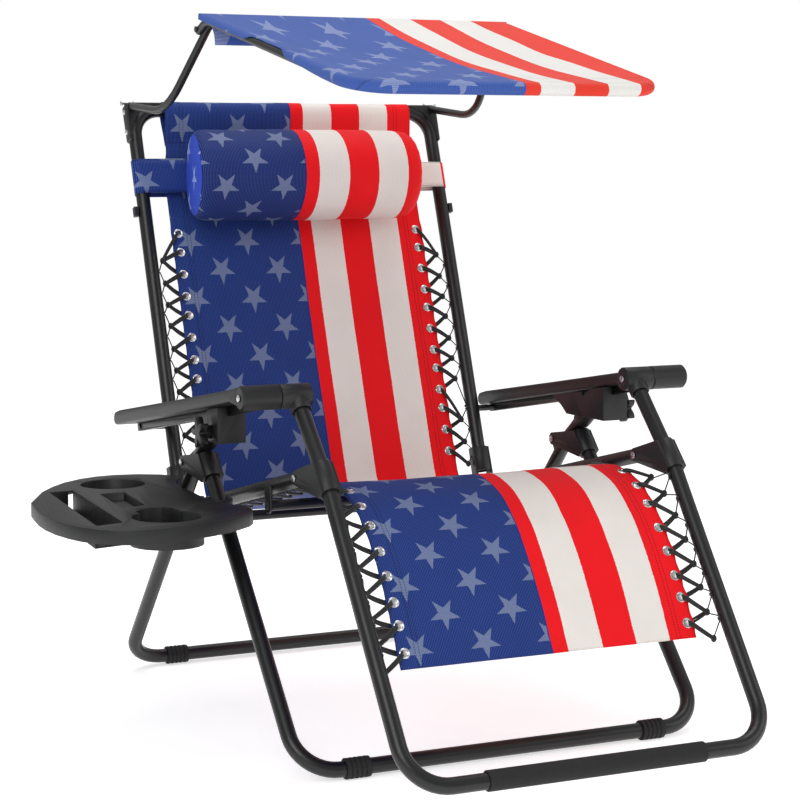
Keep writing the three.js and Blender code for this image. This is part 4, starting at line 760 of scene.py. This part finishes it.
def lay_sheet(name, start, end, blend_bodies=None, body=None, stands_for=()):
    columns = sorted({i / 40 for i in range(-40, 41)} | {s * HEM / HALF_WIDTH for s in (-1, 1)})
    rows = max(2, round((end - start) / 6))
    bm = bmesh.new()
    cloth_uv = bm.loops.layers.uv.new("Cloth")
    bmesh.ops.create_grid(bm, x_segments=len(columns) - 1, y_segments=rows, size=1)
    hem_layer = bm.verts.layers.deform.verify()
    counted = {}
    for vert in bm.verts:
        column = round((vert.co.x + 1) / 2 * (len(columns) - 1))
        row = round((vert.co.y + 1) / 2 * rows)
        counted[vert] = (columns[column], start + (end - start) * row / rows)
    for face in bm.faces:
        for loop in face.loops:
            across, distance = counted[loop.vert]
            loop[cloth_uv].uv = (across * HALF_WIDTH / 1000, print_at(distance))
    for vert, (across, distance) in counted.items():
        hem = abs(across) * HALF_WIDTH >= HEM or distance < 22 or abs(distance - seam_at) < 8
        vert[hem_layer][0] = 1.0 if hem else 0.6
        vert.co = cloth_place(across, distance)
    bmesh.ops.recalc_face_normals(bm, faces=bm.faces)
    piece = finish_piece(bm, name, body, sling_cloth, stands_for, 60, recalc=False)
    piece.vertex_groups.new(name="hem")
    thicken(piece, 2.2, "hem")
    if blend_bodies:
        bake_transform(piece)


leg_end, hip_start = knee_at + 30, hip_at - 54
lay_sheet("sling_leg_cloth", 0, leg_end, ("footrest", "seat", knee_at - 26, knee_at + 28),
          stands_for=["sling_leg"])
lay_sheet("sling_seat_cloth", leg_end, hip_start, body="seat", stands_for=["sling_seat"])
lay_sheet("sling_back_cloth", hip_start, line_length, ("seat", "backrest", hip_at - 52, hip_at + 46),
          stands_for=["sling_back"])

# %% [markdown]
# Each eyelet is a rolled washer pressed through the hem. A small oval section spun round
# the hole gives its rounded lip on both faces.

# %% Eyelets


def set_eyelet(bm, sign, distance, across):
    y, z, ny, nz = line_at(distance)
    centre, normal = chair(sign * across, y, z), Vector((0, ny, nz))
    lip = [(7.0 + 2.0 * math.cos(math.pi * k / 4), 2.2 * math.sin(math.pi * k / 4)) for k in range(8)]
    # The washer's barrel closes the hole's wall, and shows as a bright floor inside the ring.
    barrel = [(0.0, -1.5), (5.3, -1.5), (5.3, 1.3), (4.2, 1.6), (0.0, 1.7)]
    for section, closed in ((lip, True), (barrel, False)):
        places = [centre + (Vector((out, 0, 0)) + normal * up) / 1000 for out, up in section]
        spin_outline(bm, places, centre, normal, 20, closed)


for part, (body, distances, across) in LACED.items():
    rings = bmesh.new()
    for sign in (-1, 1):
        for distance in distances:
            set_eyelet(rings, sign, distance, across)
    finish_piece(rings, f"eyelets_{part}", body, nickel)

# %% [markdown]
# Lacing runs in two sizes. A doubled shock cord comes up through each eyelet and goes
# out to a knot beside the tube, then back under the edge to the next eyelet. A thin cord
# zigzags between the knots and the back of the tube. Each run is a ring of vertices
# extruded from point to point and turned to face the way ahead.

# %% Running a cord


def run_cord(bm, points, radius, sides=8):
    """Adds a closed round cord through row-frame points. The radius is in mm."""
    headings = [(points[min(i + 1, len(points) - 1)] - points[max(i - 1, 0)]).normalized()
                for i in range(len(points))]
    first = edges = start_ring(bm, points[0], headings[0], radius, sides)
    for i in range(1, len(points)):
        moved, edges = extrude_ring(bm, edges)
        turn = headings[i - 1].rotation_difference(headings[i]).to_matrix()
        bmesh.ops.translate(bm, verts=moved, vec=points[i] - points[i - 1])
        bmesh.ops.rotate(bm, verts=moved, cent=points[i], matrix=turn)
    cap_ends(bm, first, edges)


# %% The lacing
SHOCK_CORD, THIN_CORD = 2.2, 1.15
# Angles round the tube at which the thin cord touches it, from the near side to behind it
HOOK = (172, 196, 222, 250, 250, 222, 196, 172)


def lace(part, tube_of, knot_x=283, falls=(0.5, 0.5), joined=(), tail=False):
    """Laces both sides of one length of the sling.

    tube_of gives the side-view place on the tube's axis beside a distance along the line, and
    knot_x says how far out the knots lie. falls says how far each knot lies towards the next
    eyelet, as a share of the pitch, at the first and the last eyelet. joined lists the (side,
    eyelet) pairs whose cord runs on to the next eyelet's knot.
    """
    body, distances, across = LACED[part]
    last = len(distances) - 1
    marks = [line_at(distance) for distance in distances]
    bm = bmesh.new()

    def put(i, x, lift, shift=0.0):
        """A point beside eyelet i: out to x, lifted off the cloth, and shifted towards the next."""
        y, z, ny, nz = marks[i]
        here, there = (marks[i], marks[i + 1]) if i < last else (marks[i - 1], marks[i])
        y += (there[0] - here[0]) * shift
        z += (there[1] - here[1]) * shift
        return chair(x, y + ny * lift, z + nz * lift)

    def fall_at(i):
        return falls[0] + (falls[1] - falls[0]) * i / last

    for sign in (-1, 1):
        knots = [i for i in range(last + 1) if (sign, i) not in joined]
        knot, eyelet = sign * knot_x, sign * across
        for i in range(last + 1):
            shift = fall_at(i) if i in knots else 1 + fall_at(i + 1)
            for apart in (-0.054, 0.054):
                # Up through the eyelet and out to the knot
                run_cord(bm, softened([put(i, eyelet + sign * 1.8, -5.5, apart),
                                       put(i, eyelet + sign * 3.2, 0.6, apart),
                                       put(i, eyelet + sign * 8, 4.4, apart + shift * 0.16),
                                       put(i, eyelet + sign * 20, 3.8, shift * 0.5 + apart),
                                       put(i, knot, 0.9, shift + apart * 0.7)], 3), SHOCK_CORD)
                # Back under the edge to the next eyelet
                if i < last and i in knots:
                    under = (knot + eyelet) / 2 + sign * 3
                    run_cord(bm, softened([put(i, knot, -1.5, shift + apart * 0.7),
                                           put(i, under, -4.8, 0.5 + shift / 2 + apart),
                                           put(i, eyelet + sign * 3, -6.4, 0.99 + apart)], 3), SHOCK_CORD)
            if i in knots:
                centre = put(i, knot + sign * 1.2, -0.3, shift)
                bulb = bmesh.ops.create_icosphere(bm, subdivisions=2, radius=0.0046,
                                                  matrix=Matrix.Translation(centre))["verts"]
                bmesh.ops.scale(bm, verts=bulb, vec=(1.0, 1.2, 1.35), space=Matrix.Translation(-centre))
        # Thin cord: from knot to knot, hooked behind the tube between each two
        for i, j in zip(knots, knots[1:]):
            before = put(i, knot + sign * 2.5, -1.0, fall_at(i) + 0.05)
            after = put(j, knot + sign * 2.5, -1.0, fall_at(j) - 0.05)
            further = (distances[i] - distances[max(i - 1, 0)]) * (fall_at(i) - 0.5)
            y, z, ny, nz = tube_of(distances[j] + further)
            hook = []
            for k, degrees in enumerate(HOOK):
                out, up = 13.8 * math.cos(math.radians(degrees)), 13.8 * math.sin(math.radians(degrees))
                hook.append(chair(sign * (FRAME + out), y + ny * up, z + nz * up)
                            + (after - before) * 0.05 * (k - 3.5) / 3)
            run_cord(bm, softened([before] + hook + [after], 2), THIN_CORD, 6)
    if tail:
        # The thin cord's spare end is a small loop that goes back into the lowest knot.
        loop = ((1, -0.5, 0), (-1, -1.5, 0.25), (-4, -2, 0.5), (-2, -2.5, 0.72), (2, -2, 0.5), (3, -1, 0.05))
        run_cord(bm, softened([put(last, -knot_x - out, lift, fall_at(last) + along)
                               for out, lift, along in loop], 4), THIN_CORD, 6)
    finish_piece(bm, f"lacing_{part}", body, cord_braid,
                 [f"lacing_{part}_right", f"lacing_{part}_left"], 60)


def tube_beside(start, step):
    """A function that finds the place on a straight tube beside a distance along the sling."""

    def place(distance):
        y, z, ny, nz = line_at(distance)
        reach = (y - start[0]) * step[0] + (z - start[1]) * step[1]
        return (*beside(start, step, reach), ny, nz)

    return place


lace("back", tube_beside(SEAT_REAR, back_step), knot_x=277, falls=(0.34, 0.64),
     joined=((-1, 0), (1, 0), (1, 8)))
lace("seat", tube_beside(SEAT_FRONT, seat_step))
lace("leg", tube_beside(FOOT_KNEE, foot_lower), falls=(0.5, 0.68), tail=True)

# %% [markdown]
# The head pillow is a bolster: a rolled tube of cloth with a round panel sewn in at each
# end. It is turned like a lathe job, crowned a little at the middle, pulled in at the
# seams, and pressed flat where it lies against the back.

# %% Head pillow


def bolster():
    right, left, radius = -216.0, 204.0, 83.0
    centre = chair(0, 390, 905)
    bm = bmesh.new()
    cloth_uv = bm.loops.layers.uv.new("Cloth")
    # The panel, the seam, the crowned tube, the other seam and the other panel, as (x, radius) pairs
    profile = [(right + 1.5, 0.0), (right - 1.0, 30), (right, 58), (right + 2.2, 70), (right + 3.2, 73),
               (right + 6.5, 77.8), (right + 12, 80.6), (right + 24, 82.2)]
    profile += [(right + 24 + (left - right - 50) * i / 26, radius - 0.8 + 1.3 * math.sin(math.pi * i / 26))
                for i in range(1, 26)]
    profile += [(left - 26, 81.6), (left - 15, 79.4), (left - 7.5, 75.6), (left - 4, 71), (left - 1.8, 64),
                (left + 1.0, 50), (left + 3.0, 26), (left + 3.4, 0.0)]
    spin_outline(bm, [centre + Vector((x, 0, r)) / 1000 for x, r in profile], centre, (1, 0, 0), 72, False)
    bmesh.ops.remove_doubles(bm, verts=bm.verts, dist=2e-6)
    bmesh.ops.recalc_face_normals(bm, faces=bm.faces)
    # The right-hand end is turned: its front rim reaches further out than its rear rim.
    for vert in bm.verts:
        share = 1 - smooth_share((vert.co.x - centre.x) * 1000, right, right + 120)
        front = (1 - (vert.co.y - centre.y) * 1000 / radius) / 2
        vert.co.x -= 0.026 * share * front
    for face in bm.faces:
        middle = face.calc_center_median() - centre
        face.material_index = int(math.hypot(middle.y, middle.z) * 1000 < 71.5 and middle.x < 0)
        base = math.atan2(middle.z, -middle.y)
        for loop in face.loops:
            place = loop.vert.co - centre
            if face.material_index == 1:
                loop[cloth_uv].uv = (place.y - 0.172, place.z - 0.0135)
                continue
            angle = math.atan2(place.z, -place.y)
            # Where a face straddles the cut, its corners stay on one side of it.
            angle -= 2 * math.pi * round((angle - base) / (2 * math.pi))
            loop[cloth_uv].uv = (place.x + 0.038, angle * radius / 1000)
    # Soft dents, puckers at the seams, and the flat where it leans on the back
    for vert in bm.verts:
        place = vert.co - centre
        reach = math.hypot(place.y, place.z)
        if reach > 0.02:
            angle = math.atan2(place.z, -place.y)
            x_mm = place.x * 1000
            edge = math.exp(-((x_mm - right) / 16) ** 2) + math.exp(-((x_mm - left) / 18) ** 2)
            dent = 0.0009 * math.sin(angle * 3 + x_mm / 60) * math.sin(x_mm / 43 + 1.2)
            pucker = 0.0008 * edge * math.sin(angle * 23)
            grow = 1 + (dent + pucker) * 1000 / radius
            place = Vector((place.x, place.y * grow, place.z * grow))
        # The cloth of the back passes 3.6 mm in front of the tubes' plane, and nothing goes below it.
        place += centre
        off = (place - chair(0, *SEAT_REAR)).dot(back_normal) * 1000 + 3.6
        if off < 8:
            place += back_normal * (8 * math.exp((off - 8) / 8) - off) / 1000
        vert.co = place
    return bm


pillow = finish_piece(bolster(), "bolster_pillow", "pillow", [pillow_cloth, pillow_end_cloth],
                      ["head_pillow"], 62, recalc=False)

# %% [markdown]
# The pillow hangs on a flat band that loops round both backrest tubes. The band is a
# strip of the same cloth, folded double and stitched along its edges.

# %% Pillow strap


def strap():
    bm = bmesh.new()
    cloth_uv = bm.loops.layers.uv.new("Cloth")
    low, high = ((height - SEAT_REAR[1]) / back_step[1] for height in (869, 930))
    inner, path = TUBE + 1.1, []
    for sign in (1, -1):
        path += [(sign * FRAME * (i / 15 - 1), sign * inner) for i in range(31)]
        path += [(sign * (FRAME + inner * math.sin(turn)), sign * inner * math.cos(turn))
                 for turn in (math.pi * k / 14 for k in range(1, 14))]
    verts = [bm.verts.new(chair(x, *beside(SEAT_REAR, back_step, low, off))) for x, off in path]
    edges = [bm.edges.new(pair) for pair in zip(verts, verts[1:] + verts[:1])]
    base = chair(0, *beside(SEAT_REAR, back_step, low))
    rise = chair(0, *beside(SEAT_REAR, back_step, high)) - base
    direction = rise.normalized()
    for _ in range(6):
        moved, edges = extrude_ring(bm, edges)
        bmesh.ops.translate(bm, verts=moved, vec=rise / 6)
    bmesh.ops.recalc_face_normals(bm, faces=bm.faces)
    for face in bm.faces:
        for loop in face.loops:
            place = loop.vert.co - base
            loop[cloth_uv].uv = (place.x, place.dot(direction) + 0.5)
    # The band is drawn narrower towards its left end.
    for vert in bm.verts:
        narrow = 0.24 * smooth_share((vert.co.x - base.x) * 1000, 120, 290)
        vert.co -= direction * (((vert.co - base).dot(direction) - rise.length / 2) * narrow)
    return bm


strap_cloth = flag_textilene("strap_textilene", width=0.632, phase=(0.05, 0.014),
                             seams=(("across", 0.5022), ("across", 0.5628)),
                             stripe_shares=((0.56, "white"), (0.982, "red")))
band = finish_piece(strap(), "pillow_band", "pillow", strap_cloth, ["pillow_strap"], 60,
                    recalc=False)
thicken(band, 1.8)

# %% [markdown]
# The canopy is one sheet. It goes round the rear bar and hangs inside as a flap, is turned
# down over the side tubes, and wraps the front bar and its rounded corners like a fitted
# sheet. Nothing pulls it flat between the bars, so its middle sags by 14 mm.

# %% Canopy cover
REAR_BAR, FRONT_BAR = (165, 1171), (-420, 1043)
cover_step = step_of(REAR_BAR, FRONT_BAR)
REACH = cover_step[2]
# The cloth lies 9 mm off the hoops' axes, and 9.4 mm where it is turned down.
SIDE_TUBE, HOOP_BEND, LAID, WRAP = 285.6, 60, 9.0, 9.4


def side_at(reach):
    """How far out the hoop's side tube is: the two sides draw together by 24 mm towards the front."""
    return SIDE_TUBE - 23.6 * min(max(reach / REACH, 0), 1)


def margin_at(reach):
    """How much cloth is turned down over the side tube, in mm, at a reach from the rear bar."""
    bare = smooth_share(reach, 190, 225) * (1 - smooth_share(reach, 330, 370))
    return 15 - 11 * bare + 11 * smooth_share(reach, 360, 560)


def cover_place(across, reach):
    """A point of the cut cloth, across and reach in mm, laid over the hoop and round its bars."""
    if reach < 0:
        angle = -reach / LAID
        if angle < 3.0:
            along, off = -LAID * math.sin(angle), -LAID * math.cos(angle)
        else:
            # Off the bar the flap hangs down inside.
            hang = -reach - 3 * LAID
            along, off = -1.3 + 9 * (1 - math.exp(-hang / 8)) + hang * 0.15, 8.9 + hang * 0.96
        return chair(across, *beside(REAR_BAR, cover_step, along, off))
    side, sign = abs(across), math.copysign(1, across)
    tube = side_at(reach)
    past_side, past_front = side - (tube - HOOP_BEND), reach - (REACH - HOOP_BEND)
    if past_side > 0 and past_front > 0:
        length = math.hypot(past_side, past_front)
        outward = (past_side / length, past_front / length)
        over = length - HOOP_BEND
        base = (tube - HOOP_BEND + outward[0] * HOOP_BEND, REACH - HOOP_BEND + outward[1] * HOOP_BEND)
    elif past_front > 0:
        outward, over, base = (0, 1), reach - REACH, (side, REACH)
    else:
        outward, over, base = (1, 0), side - tube, (tube, reach)
    if over <= 0:
        middle = (1 - (side / tube) ** 4) * math.sin(math.pi * min(max(reach / REACH, 0), 1))
        fold = 1.5 * math.sin(side / 32 + reach / 70) * math.sin(reach / 120 + across / 130)
        fold += 1.6 * math.sin((side + reach) / 34) * math.exp(-((side - 235) / 45) ** 2)
        return chair(across, *beside(REAR_BAR, cover_step, reach, middle * (14 + fold) - LAID))
    turn = min(over / WRAP, 3.3)
    out, drop = WRAP * math.sin(turn), WRAP * (1 - math.cos(turn))
    spare = max(over - 3.3 * WRAP, 0)
    out -= 30 * (1 - math.exp(-spare / 30))
    place = (base[0] + outward[0] * out, base[1] + outward[1] * out)
    return chair(sign * place[0], *beside(REAR_BAR, cover_step, place[1], drop - LAID))


def canopy_sheet():
    bm = bmesh.new()
    cloth_uv = bm.loops.layers.uv.new("Cloth")
    reaches = [-61 + 6 * k for k in range(5)] + [-31.4 + 2.61 * k for k in range(12)]
    reaches += [8 * k for k in range(int((REACH - 60) / 8))]
    reaches += [REACH - 60 + 4 * k for k in range(15)] + [REACH + 2.5 * k for k in range(13)]
    reaches += [REACH + 38 + 8 * k for k in range(4)]
    inner = [10 * k for k in range(20)] + [200 + 5 * k for k in range(15)]
    outer = [k / 14 for k in range(15)]
    # Near the rear bar the photographed stars are drawn out lengthwise: the print runs slower there.
    measure, prints = 0.0, {}
    for before, here in zip([0.0] + reaches, reaches):
        if here > 0:
            middle = (max(before, 0) + here) / 2
            measure += (here - max(before, 0)) * min(0.28 + 1.1 * (middle / 600) ** 1.6, 0.7)
        prints[here] = -measure if here > 0 else -here * 0.3

    def cut_place(column, reach):
        sign = -1 if column < 0 else 1
        column = abs(column)
        edge = side_at(reach) + margin_at(reach) if reach >= 0 else 266 + 34 * math.exp(reach / 16)
        squeeze = side_at(reach) / SIDE_TUBE if reach >= 0 else min(edge / 285, 1)
        if column < len(inner):
            return sign * inner[column] * squeeze
        start = 275 * squeeze
        return sign * (start + (edge - start) * outer[column - len(inner)])

    half = len(inner) + len(outer) - 1
    bmesh.ops.create_grid(bm, x_segments=2 * half, y_segments=len(reaches) - 1, size=1)
    counted = {}
    for vert in bm.verts:
        column = round((vert.co.x + 1) * half) - half
        reach = reaches[round((vert.co.y + 1) / 2 * (len(reaches) - 1))]
        counted[vert] = (cut_place(column, reach), reach)
    for face in bm.faces:
        for loop in face.loops:
            across, reach = counted[loop.vert]
            loop[cloth_uv].uv = ((across - 15) / 1000, prints[reach] / 1000)
    for vert, (across, reach) in counted.items():
        vert.co = cover_place(across, reach)
    bmesh.ops.recalc_face_normals(bm, faces=bm.faces)
    return bm


cover = finish_piece(canopy_sheet(), "canopy_sheet", "canopy", canopy_cloth,
                     ["canopy_cover"], 60, recalc=False)
thicken(cover, 1.4)

# %% [markdown]
# A moulded gusset squares off each rounded corner of the head bar and holds the canopy's
# arm. Its outline is drawn in the plane of the backrest: straight outside, and inside an
# arc that follows the tube. Two domed rivets hold it to the tube's outer side.

# %% Corner gussets


def gusset(sign):
    bm = bmesh.new()
    top, outer = back_step[2] + 12, 317.2
    centre_x, centre_along = FRAME - HEAD_BEND, back_step[2] - HEAD_BEND
    outline = [(outer - 7, top), (outer - 2, top - 2), (outer, top - 7), (outer - 1, centre_along - 8),
               (outer - 5, centre_along - 12), (FRAME + 6, centre_along - 3)]
    for degrees in range(0, 91, 10):
        angle = math.radians(degrees)
        outline.append((centre_x + 57 * math.cos(angle), centre_along + 57 * math.sin(angle)))
    outline += [(centre_x - 14, centre_along + 57.5), (centre_x - 15, top - 1.5), (centre_x - 12, top)]
    half = 11.4
    extrude_outline(bm, [chair(sign * x, *beside(SEAT_REAR, back_step, along, half)) for x, along in outline],
                    back_normal * -2 * half / 1000)
    bmesh.ops.recalc_face_normals(bm, faces=bm.faces)
    round_edges(bm, [edge for edge in bm.edges if edge.calc_face_angle(0) > math.radians(35)], 1.5, 3)
    return bm


def rivet_heads(sign):
    bm = bmesh.new()
    for along in (back_step[2] - 3, back_step[2] - 42):
        y, z = beside(SEAT_REAR, back_step, along, -2)
        turned(bm, [(sign * 315.8, 0.3), (sign * 315.8, 5.0), (sign * 317.6, 4.8), (sign * 319.2, 3.2),
                    (sign * 319.8, 0.3)], y, z, 20)
    return bm


for sign, side in ((-1, "right"), (1, "left")):
    finish_piece(gusset(sign), f"corner_gusset_{side}", "backrest", collar_plastic,
                 [f"corner_bracket_{side}"], 40)
    finish_piece(rivet_heads(sign), f"gusset_rivets_{side}", "backrest", nickel)

# %% [markdown]
# The armrests are hollow mouldings with a rounded top, a blunt nose and a barrel at the
# front that turns on the knuckle. The outline is seen from the side, given thickness,
# and all its edges get a generous round.

# %% Armrest pads
# Places along and off the line of the armrest, from the knuckle's pin
PAD = [(6, 18.4), (30, 17.4), (70, 17), (330, 18.6), (610, 21.2), (634, 19.4), (641, 12), (641, 2),
       (634, -3.8), (60, -4), (46, -4), (30, -8), (14, -14)]
for sign, side in ((-1, "right"), (1, "left")):
    pad = bmesh.new()
    side_plate(pad, [beside(KNUCKLE, arm_step, along, off) for along, off in PAD],
               sign * 335, sign * 396, 6.0, 5)
    turned(pad, [(sign * 332.2, 4.6), (sign * 332.2, 18.2), (sign * 333.6, 19.5), (sign * 393, 19.5),
                 (sign * 396, 16.5), (sign * 396, 4.6)], *KNUCKLE, 40)
    finish_piece(pad, f"armrest_{side}", "armrests", arm_plastic,
                 [f"armrest_pad_{side}"], 32)

# %% [markdown]
# The small fittings keep their CAD shapes. Their meshes are loose triangles, so a Weld
# joins them first, and then a Bevel rounds the real edges by about a millimetre, which
# is what lets a moulded edge catch the light.

# %% Rounding and painting the CAD fittings


def soften(name, look, width):
    node = nodes[name]
    node.data.materials.clear()
    node.data.materials.append(look)
    node.data.shade_smooth()
    weld = node.modifiers.new("weld", "WELD")
    weld.merge_threshold = 2e-5
    bevel = node.modifiers.new("round_edges", "BEVEL")
    bevel.width = width / 1000
    bevel.segments = 2
    bevel.limit_method = "ANGLE"
    bevel.angle_limit = math.radians(40)
    bevel.harden_normals = True


for side in ("right", "left"):
    for name, width in (("leg_collar", 1.4), ("lock_block", 1.6), ("lock_knob", 1.6), ("backrest_fork", 1.2),
                        ("strap_stop", 1.0), ("footrest_collar", 1.4), ("knuckle", 1.6)):
        soften(f"{name}_{side}", collar_plastic, width)
    for name in ("leg_cross_rivet", "seat_pivot_bolt", "backrest_rivet", "canopy_pin", "footrest_rivet",
                 "knuckle_pin"):
        soften(f"{name}_{side}", nickel, 0.8)
    soften(f"armrest_rail_{side}", steel, 1.2)
soften("seat_crossbar", steel, 0.8)
soften("side_tray", tray_plastic, 1.0)
soften("tray_clamp", collar_plastic, 1.2)

# %% [markdown]
# The studio is a pale floor with three soft lamps inside a bright room: one in front on
# the left, one overhead, and a weak one on the right. Black tubes need something white to
# mirror, so all three are wide.

# %% Floor and light


def studio_floor():
    bm = bmesh.new()
    bmesh.ops.create_grid(bm, x_segments=1, y_segments=1, size=9)
    mesh = bpy.data.meshes.new("studio_floor")
    bm.to_mesh(mesh)
    bm.free()
    floor = bpy.data.objects.new("studio_floor", mesh)
    scene.collection.objects.link(floor)
    paper, shader = new_material("pale_paper", Roughness=0.9)
    where = add_node(paper, "ShaderNodeTexCoord").outputs["Object"]
    fibre = add_node(paper, "ShaderNodeTexNoise", {"Vector": where, "Scale": 3.0})
    tone = add_node(paper, "ShaderNodeMix", data_type="RGBA")
    feed(tone, {"Factor": fibre, "A": linear("#f2f2f2"), "B": linear("#f6f6f6")})
    # A little light of its own lets the paper run into the white room without a horizon.
    feed(shader, {"Base Color": tone, "Emission Color": (1, 1, 1, 1), "Emission Strength": 0.56})
    floor.data.materials.append(paper)


def soft_lamp(name, place, target, size, power):
    data = bpy.data.lights.new(name, "AREA")
    data.shape = "RECTANGLE"
    data.size, data.size_y = size
    data.energy = power
    lamp = bpy.data.objects.new(name, data)
    lamp.location = place
    lamp.rotation_euler = (Vector(target) - Vector(place)).to_track_quat("-Z", "Y").to_euler()
    scene.collection.objects.link(lamp)


studio_floor()
soft_lamp("key_lamp", (-2.5, -2.8, 2.8), (0, 0, 0.6), (2.4, 2.4), 60)
soft_lamp("fill_lamp", (3.2, -2.4, 2.0), (0, 0, 0.6), (2.0, 2.4), 22)
soft_lamp("top_lamp", (0.2, 0.6, 4.0), (0, 0, 0.5), (3.0, 3.0), 66)
world = bpy.data.worlds.new("bright_room")
world.use_nodes = True
# The camera sees a white room, while the chair is lit by a dimmer one.
seen = add_node(world, "ShaderNodeLightPath").outputs["Is Camera Ray"]
strength = add_node(world, "ShaderNodeMapRange", {"Value": seen, "To Min": 0.5, "To Max": 1.0})
feed(world.node_tree.nodes["Background"], {"Color": (1, 1, 1, 1), "Strength": strength})
scene.world = world
scene.view_settings.view_transform = "Standard"
